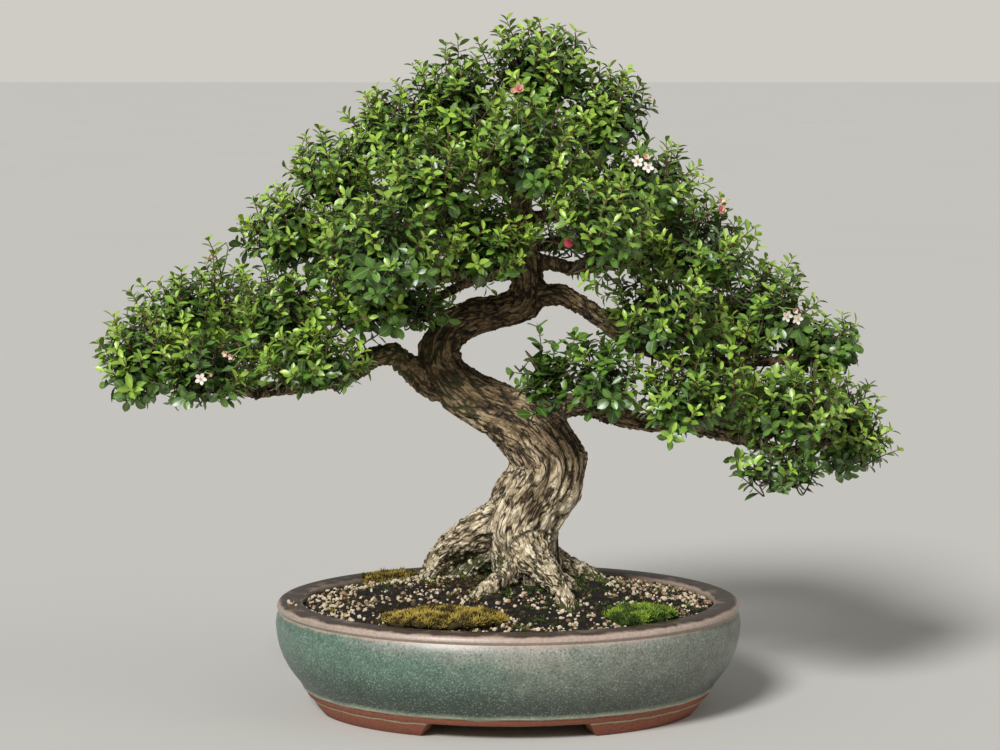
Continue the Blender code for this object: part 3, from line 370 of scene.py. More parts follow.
class BonsaiPotLooks(bpy.types.PropertyGroup):
    sides: IntProperty(
        name="Sides", description="Faces round the pot's oval", min=32, max=256, default=128
    )
    glaze: colour("Glaze", "Blue-green celadon where the glaze lies thick", "#5A7465")
    deep_glaze: colour("Deep glaze", "Dark pools low on the belly", "#2D3A30")
    grey_glaze: colour("Grey glaze", "Where the glaze turned grey in the fire", "#787A6F")
    pink_glaze: colour("Pink glaze", "The blush under the lip", "#ACA49A")
    speck: colour("Light speck", "Pale specks that broke through the glaze", "#A9B3A6")
    dark_speck: colour("Dark speck", "Iron specks", "#33443D")
    lip: colour("Lip", "Brown-grey of the thinly glazed lip", "#483D34")
    lip_edge: colour("Lip edge", "Pinkish line where the glaze drew back from the edge", "#B89F91")
    clay: colour("Bare clay", "Unglazed clay of the foot", "#87503A")
    glaze_line: colour("Glaze line", "Pale line where the glaze ends over the clay", "#A9AE96")
    soot: colour("Sole", "Worn dark soles of the feet", "#2E211A")
    speck_size: length("Speck size", "Distance between specks", 0.0014)


class BonsaiWoodLooks(bpy.types.PropertyGroup):
    voxel: length("Mesh size", "Size of the faces on the bark", 0.0017)
    plate_width: length("Plate width", "Width of the bark's long plates", 0.0044)
    plate_depth: length("Plate depth", "Depth of the cracks between the plates", 0.0042)
    ridge: colour("Ridge", "Weathered top of the flakes", "#EFE1C4")
    # Crack: dark bark at the bottom of the cracks, its near-black partly painted shade.
    middle: colour("Bark", "Sides of the flakes", "#9C8A69")
    crack_and_shade: colour("Crack", "Bottom of the cracks", "#171209")
    brown: colour("Brown bark", "Fresher, browner bark", "#5F462B")
    tan: colour("Tan bark", "Top of the flakes where the bark is brown", "#AB9168")
    # Upper bark multiplies the bark's colour from the bend upwards: partly darker bark, partly painted shade
    # of the crown.
    shaded: colour("Upper bark", "What the bark's colour is dimmed by from the bend upwards", "#B0A284")
    scar: colour("Scar", "Reddish healed scar", "#8F5E48")
    moss: colour("Bark moss", "Moss film in the bark's cracks", "#3B4219")


class BonsaiFoliageLooks(bpy.types.PropertyGroup):
    outer_shoots: IntProperty(
        name="Outer shoots", description="Shoots on a spray's outside", min=5, max=120, default=60
    )
    inner_shoots: IntProperty(
        name="Inner shoots", description="Shoots inside a spray", min=5, max=120, default=44
    )
    leaf_length: length("Leaf length", "Length of a grown leaf", 0.0096)
    young: colour("Young leaf", "Leaves at a shoot's tip", "#9FBF42")
    grown: colour("Grown leaf", "Leaves along a shoot", "#58822B")
    # Old leaf: dark green of old leaves, also painted shade for the inside of the crown.
    old: colour("Old leaf", "Leaves inside the crown", "#26401A")
    rib: colour("Midrib", "Pale rib and veins", "#B4C67E")
    twig: colour("Twig", "Reddish bark of young twigs", "#7C4A2D")
    old_twig: colour("Old twig", "Grey-brown bark of older twigs", "#5A4D3D")


class BonsaiBloomLooks(bpy.types.PropertyGroup):
    petal_length: length("Petal length", "Length of a petal of an open bloom", 0.0046)
    white: colour("Petal", "White of an open petal", "#F6F0EC")
    blush: colour("Blush", "Pink at a petal's foot and on buds", "#E8B5A8")
    rose: colour("Rose", "Salmon of an old bloom", "#E3A497")
    centre: colour("Centre", "Yellow of the stamens", "#D9B84A")
    sepal: colour("Sepal", "Green cup behind the petals", "#7E9A45")
    berry: colour("Berry", "Coral-red skin of the ripe berry", "#D8505E")


class BonsaiGroundLooks(bpy.types.PropertyGroup):
    voxel: length("Mesh size", "Size of the faces on the soil", 0.0029)
    soil: colour("Soil", "Dark damp soil", "#0E0903")
    soil_light: colour("Dry soil", "Drier crumbs", "#4A3617")
    grit: colour("Grit", "Off-white pumice grit", "#DCCFB2")
    grit_warm: colour("Warm grit", "Pinkish and tan grit", "#A27E5C")
    grit_dark: colour("Lava grit", "Dark lava grit", "#21190E")
    dry_moss: colour("Dry moss", "Olive-yellow moss tips", "#C6AE4E")
    dry_moss_base: colour("Dry moss base", "Brown depths of the dry moss", "#3F330F")
    green_moss: colour("Green moss", "Bright green moss tips", "#93B03A")
    green_moss_base: colour("Green moss base", "Dark depths of the green moss", "#2C400E")
    tuft: length("Tuft", "Height of a tuft of moss", 0.0048)


class BonsaiStageLooks(bpy.types.PropertyGroup):
    floor: colour("Floor", "Plain pale floor", "#CCCAC5")
    backdrop: colour("Backdrop", "What the camera sees past the floor", "#CFCCC6")
    key_power: strength("Key light", "Strength of the main light, in W/m2", 3.1)
    fill_power: strength("Fill light", "Strength of the fill light, in W/m2", 0.35)
    sky: strength("Sky", "Strength of the even light from all round", 0.42)


def feed(tree, node, links):
    """Gives a node's inputs their values, each a number, a colour or another node's output."""
    for name, value in dict(links).items():
        if isinstance(value, bpy.types.NodeSocket):
            tree.links.new(value, node.inputs[name])
        else:
            node.inputs[name].default_value = value


def add(tree, kind, links=(), stops=(), **settings):
    """Adds a node, sets it and its ramp's stops (the two ends first), feeds its inputs, gives its outputs."""
    node = tree.nodes.new(kind)
    for name, value in settings.items():
        setattr(node, name, value)
    for i, (place, code) in enumerate(stops):
        stop = node.color_ramp.elements[i] if i < 2 else node.color_ramp.elements.new(place)
        stop.position = place
        stop.color = code
    feed(tree, node, links)
    return node.outputs


# Numbers of the Mix node's sockets for colours: the share, the two colours and the result.
SHARE, ONE, OTHER, RESULT = 0, 6, 7, 2
# Settings that many nodes share.
SOFT = {"interpolation_type": "SMOOTHSTEP"}
BLEND = {"data_type": "RGBA"}
TIMES_PLUS = {"operation": "MULTIPLY_ADD"}
TIMES = {"operation": "MULTIPLY"}


def finish_named(name):
    """A new material, its node tree, its shader and its Object coordinates."""
    made = bpy.data.materials.new(name)
    made.use_nodes = True
    tree = made.node_tree
    place = add(tree, "ShaderNodeTexCoord")["Object"]
    return made, tree, tree.nodes["Principled BSDF"], place


def glaze_bands(looks):
    """The pot's colour by height where it isn't plain glaze, its two ends first.

    A band is (height in mm, colour, how much it covers).
    """
    return (
        (0.0, looks.soot, 1.0),
        (90.0, looks.lip, 1.0),
        (1.6, looks.clay, 1.0),
        (11.4, looks.clay, 1.0),
        (12.1, looks.glaze_line, 0.8),
        (12.9, looks.clay, 1.0),
        (17.2, looks.clay, 1.0),
        (18.0, looks.glaze_line, 0.9),
        (19.4, looks.glaze_line, 0.5),
        (22.0, looks.glaze_line, 0.0),
        (72.8, looks.lip_edge, 0.0),
        (74.4, looks.lip_edge, 0.75),
        (75.6, looks.lip_edge, 0.60),
        (78.8, looks.lip_edge, 0.65),
        (80.0, looks.lip_edge, 0.85),
        (81.2, looks.lip, 1.0),
    )


def speckled_stoneware(looks):
    """Celadon-glazed stoneware, reduction fired: a blue-green glaze full of specks, bare clay below."""
    made, tree, shader, place = finish_named("speckled_celadon_stoneware")
    axis = add(tree, "ShaderNodeSeparateXYZ", {"Vector": place})
    aside = add(tree, "ShaderNodeMath", {0: axis["X"], 1: axis["X"]}, **TIMES)[0]
    bowed = add(tree, "ShaderNodeMath", {0: aside, 1: -1.1, 2: axis["Z"]}, **TIMES_PLUS)[0]
    ways = {"aside": axis["X"], "up": axis["Z"], "bowed": bowed}
    cloud = add(tree, "ShaderNodeTexNoise", {"Vector": place, "Scale": 19.0, "Detail": 5.0})["Fac"]
    wobble = add(tree, "ShaderNodeTexNoise", {"Vector": place, "Scale": 75.0, "Detail": 3.0})["Fac"]
    # Each colour drifts in clouds: (colour, which way, from where to where, how much covers).
    glaze = looks.glaze
    for code, way, low, high, most in (
        (looks.grey_glaze, "aside", 0.00, 0.17, 0.9),
        (looks.deep_glaze, "up", 0.074, 0.040, 0.85),
        (looks.pink_glaze, "bowed", 0.070, 0.096, 0.80),
    ):
        reach = 0.16 if way == "aside" else 0.034
        drift = add(tree, "ShaderNodeMath", {0: cloud, 1: reach, 2: ways[way]}, **TIMES_PLUS)[0]
        covers = add(
            tree,
            "ShaderNodeMapRange",
            {"Value": drift, "From Min": low, "From Max": high, "To Max": most},
            **SOFT,
        )[0]
        glaze = add(tree, "ShaderNodeMix", {SHARE: covers, ONE: glaze, OTHER: code}, **BLEND)[RESULT]
    # Specks of about a millimetre, as the glaze broke over the clay.
    grain = 1.0 / looks.speck_size
    fine = add(
        tree, "ShaderNodeTexNoise", {"Vector": place, "Scale": grain, "Detail": 3.0, "Roughness": 0.7}
    )["Fac"]
    for code, low, high, most in ((looks.speck, 0.51, 0.72, 0.70), (looks.dark_speck, 0.50, 0.30, 0.75)):
        speck = add(
            tree,
            "ShaderNodeMapRange",
            {"Value": fine, "From Min": low, "From Max": high, "To Max": most},
            **SOFT,
        )[0]
        glaze = add(tree, "ShaderNodeMix", {SHARE: speck, ONE: glaze, OTHER: code}, **BLEND)[RESULT]
    mottle = add(
        tree, "ShaderNodeTexNoise", {"Vector": place, "Scale": 110.0, "Detail": 6.0, "Roughness": 0.7}
    )["Fac"]
    cast = add(
        tree,
        "ShaderNodeMapRange",
        {"Value": mottle, "From Min": 0.3, "From Max": 0.7, "To Min": 0.76, "To Max": 1.24},
    )[0]
    glaze = add(tree, "ShaderNodeHueSaturation", {"Color": glaze, "Value": cast})["Color"]
    # The height that the glaze lines follow wanders by about a millimetre.
    line = add(tree, "ShaderNodeMath", {0: wobble, 1: 0.0030, 2: axis["Z"]}, **TIMES_PLUS)[0]
    bands = glaze_bands(looks)
    top = bands[1][0] * MM
    height = add(tree, "ShaderNodeMath", {0: line, 1: 1.0 / top}, **TIMES)[0]
    stops = [(z * MM / top, (*code[:3], covers)) for z, code, covers in bands]
    banded = add(tree, "ShaderNodeValToRGB", {"Fac": height}, stops)
    sandy = add(tree, "ShaderNodeTexNoise", {"Vector": place, "Scale": 500.0, "Detail": 3.0})["Fac"]
    tone = add(tree, "ShaderNodeMapRange", {"Value": sandy, "To Min": 0.55, "To Max": 1.45})[0]
    grainy = add(tree, "ShaderNodeHueSaturation", {"Color": banded["Color"], "Value": tone})["Color"]
    base = add(
        tree, "ShaderNodeMix", {SHARE: banded["Alpha"], ONE: glaze, OTHER: grainy}, **BLEND
    )[RESULT]
    rough = add(
        tree,
        "ShaderNodeMapRange",
        {"Value": line, "From Min": 0.0176, "From Max": 0.0184, "To Min": 0.86, "To Max": 0.38},
    )[0]
    bump = add(tree, "ShaderNodeBump", {"Height": fine, "Strength": 0.2, "Distance": 0.3 * MM})[0]
    feed(tree, shader, {"Base Color": base, "Roughness": rough, "Normal": bump, "IOR": 1.5})
    return made


def weathered_bark(looks):
    """Old flaking bark: pale weathered flakes with dark cracks, browner in places and mossy. The cracks'
    black and the dimming from the bend upwards are partly painted shade.
    """
    made, tree, shader, place = finish_named("weathered_flaking_bark")
    relief = add(tree, "ShaderNodeAttribute", attribute_name="relief")["Fac"]
    moss = add(tree, "ShaderNodeAttribute", attribute_name="moss")["Fac"]
    scar = add(tree, "ShaderNodeAttribute", attribute_name="scar")["Fac"]
    grain = add(tree, "ShaderNodeAttribute", attribute_name="grain")["Vector"]
    # Plates of about 4 mm by 20 mm, parted by thin cracks that wander along the grain, dark partly as painted
    # shade.
    along = add(tree, "ShaderNodeMapping", {"Vector": grain, "Scale": (1.0, 1.0, 0.25)})["Vector"]
    parted = 1.0
    for scale, width, depth in ((190.0, 0.072, 0.88), (480.0, 0.095, 0.44)):
        wave = add(tree, "ShaderNodeTexNoise", {"Vector": along, "Scale": scale, "Detail": 3.0})["Fac"]
        apart = add(tree, "ShaderNodeMath", {0: wave, 1: 0.5}, operation="SUBTRACT")[0]
        apart = add(tree, "ShaderNodeMath", {0: apart}, operation="ABSOLUTE")[0]
        closed = add(
            tree,
            "ShaderNodeMapRange",
            {"Value": apart, "From Min": 0.0, "From Max": width, "To Min": 1.0 - depth},
            **SOFT,
        )[0]
        parted = add(tree, "ShaderNodeMath", {0: closed, 1: parted}, **TIMES)[0]
    # Each plate has a tone of its own, streaked by fibres drawn a little coarser than real ones.
    cells = add(tree, "ShaderNodeMapping", {"Vector": grain, "Scale": (250.0, 250.0, 60.0)})["Vector"]
    flake = add(tree, "ShaderNodeTexVoronoi", {"Vector": cells, "Scale": 1.0})["Color"]
    fibre = add(
        tree, "ShaderNodeTexNoise", {"Vector": along, "Scale": 650.0, "Detail": 3.0, "Roughness": 0.65}
    )["Fac"]
    patch = add(tree, "ShaderNodeTexNoise", {"Vector": place, "Scale": 48.0, "Detail": 4.0})["Fac"]
    tone = add(tree, "ShaderNodeMath", {0: flake, 1: 0.25, 2: relief}, **TIMES_PLUS)[0]
    tone = add(tree, "ShaderNodeMath", {0: fibre, 1: 0.90, 2: tone}, **TIMES_PLUS)[0]
    tone = add(tree, "ShaderNodeMapRange", {"Value": tone, "From Min": 0.45, "From Max": 1.30})[0]
    height = add(tree, "ShaderNodeMath", {0: tone, 1: parted}, **TIMES)[0]
    # The ramp runs from the cracks, near black partly as painted shade, to the pale ridges.
    base = add(
        tree,
        "ShaderNodeValToRGB",
        {"Fac": height},
        ((0.08, looks.crack_and_shade), (0.92, looks.ridge), (0.46, looks.middle)),
    )["Color"]
    tan = add(
        tree,
        "ShaderNodeValToRGB",
        {"Fac": height},
        ((0.08, looks.crack_and_shade), (0.95, looks.tan), (0.46, looks.brown)),
    )["Color"]
    # The bark is greyer low on the trunk and browner from its middle upwards.
    level = add(tree, "ShaderNodeSeparateXYZ", {"Vector": place})["Z"]
    rise = add(tree, "ShaderNodeMath", {0: level, 1: 3.0, 2: patch}, **TIMES_PLUS)[0]
    browned = add(
        tree,
        "ShaderNodeMapRange",
        {"Value": rise, "From Min": 0.90, "From Max": 1.18, "To Max": 0.75},
        **SOFT,
    )[0]
    base = add(tree, "ShaderNodeMix", {SHARE: browned, ONE: base, OTHER: tan}, **BLEND)[RESULT]
    base = add(tree, "ShaderNodeMix", {SHARE: scar, ONE: base, OTHER: looks.scar}, **BLEND)[RESULT]
    # From the bend upwards the bark is darker: partly browner bark, partly painted shade of the crown
    # multiplied into its colour.
    high = add(
        tree,
        "ShaderNodeMapRange",
        {"Value": level, "From Min": 0.148, "From Max": 0.262, "To Max": 0.76},
        **SOFT,
    )[0]
    base = add(
        tree,
        "ShaderNodeMix",
        {SHARE: high, ONE: base, OTHER: looks.shaded},
        data_type="RGBA",
        blend_type="MULTIPLY",
    )[RESULT]
    # The moss fills the cracks first.
    low = add(tree, "ShaderNodeMath", {0: height, 1: -1.2, 2: 1.35}, **TIMES_PLUS)[0]
    mossy = add(tree, "ShaderNodeMath", {0: moss, 1: low}, **TIMES)[0]
    covered = add(
        tree,
        "ShaderNodeMapRange",
        {"Value": mossy, "From Min": 0.12, "From Max": 0.55, "To Max": 0.9},
        **SOFT,
    )[0]
    base = add(tree, "ShaderNodeMix", {SHARE: covered, ONE: base, OTHER: looks.moss}, **BLEND)[RESULT]
    bump = add(tree, "ShaderNodeBump", {"Height": height, "Strength": 0.9, "Distance": 1.1 * MM})[0]
    feed(tree, shader, {"Base Color": base, "Normal": bump, "Roughness": 0.85})
    return made


def leathery_leaf(looks):
    """Small evergreen leaves, waxy and leathery: bright when young, deep green when old, ribbed. The old end
    is also painted shade inside the crown.
    """
    made, tree, shader, place = finish_named("waxy_evergreen_leaf")
    age = add(tree, "ShaderNodeAttribute", attribute_name="youth")["Fac"]
    shade = add(tree, "ShaderNodeAttribute", attribute_name="shade")["Fac"]
    across = add(tree, "ShaderNodeAttribute", attribute_name="across")["Fac"]
    under = add(tree, "ShaderNodeAttribute", attribute_name="under")["Fac"]
    mottle = add(tree, "ShaderNodeTexNoise", {"Vector": place, "Scale": 160.0, "Detail": 2.0})["Fac"]
    hue = add(
        tree,
        "ShaderNodeValToRGB",
        {"Fac": age},
        ((0.0, looks.old), (1.0, looks.young), (0.45, looks.grown)),
    )["Color"]
    spread = add(tree, "ShaderNodeMath", {0: mottle, 1: 0.35, 2: shade}, **TIMES_PLUS)[0]
    light = add(
        tree, "ShaderNodeMapRange", {"Value": spread, "From Max": 1.3, "To Min": 0.62, "To Max": 1.35}
    )[0]
    blade = add(tree, "ShaderNodeHueSaturation", {"Color": hue, "Value": light})["Color"]
    side = add(tree, "ShaderNodeMath", {0: across}, operation="ABSOLUTE")[0]
    rib = add(
        tree,
        "ShaderNodeMapRange",
        {"Value": side, "From Min": 0.16, "From Max": 0.03, "To Max": 0.30},
        **SOFT,
    )[0]
    blade = add(tree, "ShaderNodeMix", {SHARE: rib, ONE: blade, OTHER: looks.rib}, **BLEND)[RESULT]
    pale = add(tree, "ShaderNodeMath", {0: under, 1: 0.35}, **TIMES)[0]
    blade = add(tree, "ShaderNodeMix", {SHARE: pale, ONE: blade, OTHER: looks.rib}, **BLEND)[RESULT]
    bump = add(tree, "ShaderNodeBump", {"Height": side, "Strength": 0.5, "Distance": 0.5 * MM})[0]
    feed(tree, shader, {"Base Color": blade, "Normal": bump, "Roughness": 0.40, "IOR": 1.45})
    feed(tree, shader, {"Coat Weight": 0.60, "Coat Roughness": 0.28})
    return made


def young_twig(looks):
    """Thin twig bark: reddish and smooth when young, grey-brown and dull when old."""
    made, tree, shader, place = finish_named("reddish_twig_bark")
    age = add(tree, "ShaderNodeAttribute", attribute_name="youth")["Fac"]
    knots = add(tree, "ShaderNodeTexNoise", {"Vector": place, "Scale": 400.0, "Detail": 3.0})["Fac"]
    fresh = add(tree, "ShaderNodeMapRange", {"Value": age, "From Min": 0.1, "From Max": 0.6}, **SOFT)[0]
    hue = add(
        tree, "ShaderNodeMix", {SHARE: fresh, ONE: looks.old_twig, OTHER: looks.twig}, **BLEND
    )[RESULT]
    worn = add(
        tree, "ShaderNodeMapRange", {"Value": knots, "From Min": 0.45, "From Max": 0.75}, **SOFT
    )[0]
    hue = add(tree, "ShaderNodeMix", {SHARE: worn, ONE: hue, OTHER: looks.old_twig}, **BLEND)[RESULT]
    bump = add(tree, "ShaderNodeBump", {"Height": knots, "Strength": 0.4, "Distance": 0.3 * MM})[0]
    feed(tree, shader, {"Base Color": hue, "Normal": bump, "Roughness": 0.7})
    return made


def tinted(name, ends, roughness, scale, attribute="tint", bump_depth=0.3 * MM):
    """A finish between colours by a point value on the mesh, clouded at a real size."""
    made, tree, shader, place = finish_named(name)
    value = add(tree, "ShaderNodeAttribute", attribute_name=attribute)["Fac"]
    cloud = add(tree, "ShaderNodeTexNoise", {"Vector": place, "Scale": 1.0 / scale, "Detail": 3.0})["Fac"]
    clouded = add(tree, "ShaderNodeMath", {0: cloud, 1: 0.5, 2: value}, **TIMES_PLUS)[0]
    places = [0.22 + 0.78 * i / (len(ends) - 1) for i in range(len(ends))]
    order = [0, len(ends) - 1] + list(range(1, len(ends) - 1))
    stops = [(places[i], ends[i]) for i in order]
    base = add(tree, "ShaderNodeValToRGB", {"Fac": clouded}, stops)["Color"]
    bump = add(tree, "ShaderNodeBump", {"Height": cloud, "Strength": 0.6, "Distance": bump_depth})[0]
    feed(tree, shader, {"Base Color": base, "Normal": bump, "Roughness": roughness})
    return made


def piece(name, bm, finishes, slot, *replaced):
    """A finished piece that rides on the frame's one body and may stand for CAD nodes."""
    mesh = bpy.data.meshes.new(name)
    bm.to_mesh(mesh)
    bm.free()
    for finish in finishes:
        mesh.materials.append(finish)
    made = bpy.data.objects.new(name, mesh)
    bpy.context.scene.collection.objects.link(made)
    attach(made, BODY)
    if replaced:
        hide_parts(*replaced)


def merged_copy(node):
    """A bmesh of a CAD node, its loose triangles joined."""
    bm = bmesh.new()
    bm.from_mesh(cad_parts[node].data)
    bmesh.ops.remove_doubles(bm, verts=bm.verts[:], dist=0.01 * MM)
    return bm


def remeshed(bm, voxel):
    """The same solid in even faces of about the voxel's size."""
    mesh = bpy.data.meshes.new("remeshed")
    bm.to_mesh(mesh)
    bm.free()
    carrier = bpy.data.objects.new("remeshed", mesh)
    bpy.context.scene.collection.objects.link(carrier)
    modifier = carrier.modifiers.new("voxels", "REMESH")
    modifier.mode = "VOXEL"
    modifier.voxel_size = voxel
    graph = bpy.context.evaluated_depsgraph_get()
    made = bmesh.new()
    made.from_object(carrier, graph)
    bpy.data.objects.remove(carrier)
    bpy.data.meshes.remove(mesh)
    return made


def smooth_faces(bm):
    for face in bm.faces:
        face.smooth = True


def stamp(bm, shape, place, **values):
    """Adds a copy of a mesh to a bmesh at a place, and raises its point values by those given.

    The bmesh has had no points removed, so the new ones come last.
    """
    start = len(bm.verts)
    bm.from_mesh(shape)
    bm.verts.ensure_lookup_table()
    added = bm.verts[start:]
    for v in added:
        v.co = place @ v.co
    for name, value in values.items():
        layer = bm.verts.layers.float[name]
        for v in added:
            v[layer] += value


def facing(direction, spin=0.0):
    """A turn that points +Z in this direction, after a spin about it."""
    return direction.to_track_quat("Z", "Y").to_matrix().to_4x4() @ Matrix.Rotation(spin, 4, "Z")


def as_shape(name, bm, finish=None):
    """The bmesh as a mesh to stamp, all its faces in one finish where that is given."""
    if finish is not None:
        for face in bm.faces:
            face.material_index = finish
    mesh = bpy.data.meshes.new(name)
    bm.to_mesh(mesh)
    bm.free()
    return mesh


def with_values(bm, *names):
    """Gives a bmesh's points these values, 0 to start with."""
    return [bm.verts.layers.float.new(name) for name in names]


def blank(*names):
    """An empty bmesh whose points will have these values."""
    bm = bmesh.new()
    with_values(bm, *names)
    return bm


def tree_of(bm):
    """A tree that finds the nearest place on this bmesh, which it uses up."""
    found = BVHTree.FromBMesh(bm)
    bm.free()
    return found


def tube(bm, path, radii, sides, youth=0.0, finish=0):
    """A thin round stem along these points, closed at both ends, added to a bmesh."""
    layer = bm.verts.layers.float["youth"]
    start = Matrix.Translation(path[0]) @ facing((path[1] - path[0]).normalized())
    made = bmesh.ops.create_circle(bm, cap_ends=True, segments=sides, radius=radii[0], matrix=start)
    points = list(made["verts"])
    edges = list(dict.fromkeys(edge for v in points for edge in v.link_edges))
    faces = list(dict.fromkeys(face for v in points for face in v.link_faces))
    for i in range(1, len(path)):
        made = bmesh.ops.extrude_edge_only(bm, edges=edges)["geom"]
        ring = [g for g in made if isinstance(g, bmesh.types.BMVert)]
        edges = [g for g in made if isinstance(g, bmesh.types.BMEdge)]
        faces += [g for g in made if isinstance(g, bmesh.types.BMFace)]
        for v in ring:
            v.co = path[i] + (v.co - path[i - 1]) * (radii[i] / radii[i - 1])
        points += ring
    faces += bmesh.ops.contextual_create(bm, geom=edges)["faces"]
    bmesh.ops.recalc_face_normals(bm, faces=faces)
    for v in points:
        v[layer] = youth
    for face in faces:
        face.material_index = finish
        face.smooth = True


def blade_shape(name, half_width, segments, point, fold, droop, thick, finish=0):
    """A leaf or petal one metre long, from the origin along +X with its face up: a thin closed lens."""
    bm = bmesh.new()
    _, _, across, under = with_values(bm, *LEAF_VALUES)

    def inside(v):
        return abs(v[across]) < 0.5 and BLADE_MERGE < v.co.x < 1 - BLADE_MERGE

    bmesh.ops.create_grid(bm, x_segments=segments, y_segments=2, size=1.0)
    for v in bm.verts:
        along = ((v.co.x + 1) / 2) ** 0.66
        width = half_width * math.sin(math.pi * along**point) ** 0.65 if 0 < along < 1 else 0.0
        v[across] = v.co.y
        v.co = Vector(
            (along, v.co.y * width, fold * abs(v.co.y) * width + droop * (along - along**2) * 0.6)
        )
    bmesh.ops.remove_doubles(bm, verts=bm.verts[:], dist=BLADE_MERGE)
    for v in bm.verts:
        if v.co.x < BLADE_MERGE or v.co.x > 1 - BLADE_MERGE:
            v[across] = 0.0
    copied = bmesh.ops.duplicate(bm, geom=bm.faces[:])["geom"]
    bmesh.ops.reverse_faces(bm, faces=[g for g in copied if isinstance(g, bmesh.types.BMFace)])
    for v in [g for g in copied if isinstance(g, bmesh.types.BMVert)]:
        if inside(v):
            v.co.z -= thick
            v[under] = 1.0
    bmesh.ops.remove_doubles(bm, verts=bm.verts[:], dist=BLADE_MERGE)
    for edge in bm.edges:
        edge.smooth = any(inside(v) for v in edge.verts)
    smooth_faces(bm)
    return as_shape(name, bm, finish)


def shoot_shape(name, draw, blades, fine, pairs, spacing, youth, leaf_length):
    """A leafy shoot that grows up from the origin: crossed pairs of leaves, the youngest at its tip."""
    bm = blank(*LEAF_VALUES)
    reach = spacing * pairs
    lean = Vector([draw.uniform(-SHOOT_LEAN, SHOOT_LEAN) for _ in range(2)] + [0])
    steps = 4 if fine else 2

    def on_stem(t):
        return Vector((0, 0, reach * t)) + lean * reach * t * t

    path = [on_stem(i / steps) for i in range(steps + 1)]
    radii = [(STEM_RADIUS_MM - STEM_TAPER_MM * i / steps) * MM for i in range(steps + 1)]
    tube(bm, path, radii, 4 if fine else 3, youth[0], 1)
    turn = draw.uniform(0, math.tau)
    for pair in range(pairs + 1):
        t = ((pair + 0.55) / (pairs + 0.55)) ** 0.85 if pair else LOWEST_LEAVES
        young = youth[0] + (youth[1] - youth[0]) * t**1.6
        tilt = 0.15 + 0.40 * t**2
        long = leaf_length * (1.08 - 0.24 * t**2)
        shape = blades["young" if t > YOUNG_FROM else "grown"]
        for side in range(2):
            angle = turn + pair * math.pi / 2 + side * math.pi + draw.uniform(-0.25, 0.25)
            rise = tilt + draw.uniform(-0.22, 0.22)
            roll = draw.uniform(-0.35, 0.35)
            stretch = long * draw.uniform(0.86, 1.12)
            turned = Matrix.Translation(on_stem(t)) @ Matrix.Rotation(angle, 4, "Z")
            turned = turned @ Matrix.Rotation(-rise, 4, "Y") @ Matrix.Rotation(roll, 4, "X")
            stamp(bm, shape, turned @ Matrix.Scale(stretch, 4), youth=young, shade=draw.uniform(0.0, 1.0))
    if fine:
        for k in range(2):
            turned = Matrix.Translation(path[-1]) @ Matrix.Rotation(turn + k * math.pi, 4, "Z")
            turned = turned @ Matrix.Rotation(-BUD_RISE, 4, "Y") @ Matrix.Scale(leaf_length * BUD_SIZE, 4)
            stamp(bm, blades["young"], turned, youth=min(1.0, youth[1] + 0.1), shade=0.8)
    return as_shape(name, bm)


def shoot_shapes(looks):
    """The kinds of shoot that the crown is made of, each in several variants."""
    draw = random.Random(FOLIAGE_SEED)
    blades = {
        kind: {age: blade_shape(f"{kind}_{age}_blade", *numbers) for age, numbers in ages.items()}
        for kind, ages in BLADES.items()
    }
    made = {}
    for name, (count, kind, pairs, spacing, youth, scale) in SHOOTS.items():
        size = looks.leaf_length * scale
        made[name] = [
            shoot_shape(f"{name}_{i}", draw, blades[kind], kind != "coarse", pairs, spacing, youth, size)
            for i in range(count)
        ]
    return made


def ball_of(node):
    """Middle and half sizes of the ball of leaves round a CAD spray, from how its volume is spread."""
    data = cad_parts[node].data
    data.calc_loop_triangles()
    volume = 0.0
    first = Vector((0, 0, 0))
    second = Vector((0, 0, 0))
    for tri in data.loop_triangles:
        a, b, c = (data.vertices[i].co for i in tri.vertices)
        part = a.dot(b.cross(c)) / 6
        volume += part
        first += (a + b + c) * (part / 4)
        for k in range(3):
            p, q, r = a[k], b[k], c[k]
            second[k] += part / 10 * (p * p + q * q + r * r + p * q + q * r + r * p)
    middle = first / volume
    half = [math.sqrt(5 * max(0.0, second[k] / volume - middle[k] ** 2)) / CORE_FILL for k in range(3)]
    return middle, Vector(half)


def share_of(ball, point):
    """How far out in a ball a point lies: 0 at its middle and 1 at its tips."""
    middle, half = ball
    return math.hypot(*((point[k] - middle[k]) / half[k] for k in range(3)))


def spread_directions(count, turn):
    """Directions spread evenly over a ball."""
    for i in range(count):
        z = 1 - 2 * (i + 0.5) / count
        angle = turn + i * math.pi * (3 - math.sqrt(5))
        flat = math.sqrt(1 - z * z)
        yield Vector((flat * math.cos(angle), flat * math.sin(angle), z))


def bent_path(start, end, direction, steps):
    """Points from start to end that arrive in this direction."""
    reach = (end - start).length
    control = end - direction * reach * 0.45
    made = []
    for i in range(steps + 1):
        t = i / steps
        made.append(start * (1 - t) ** 2 + control * 2 * t * (1 - t) + end * t * t)
    return made


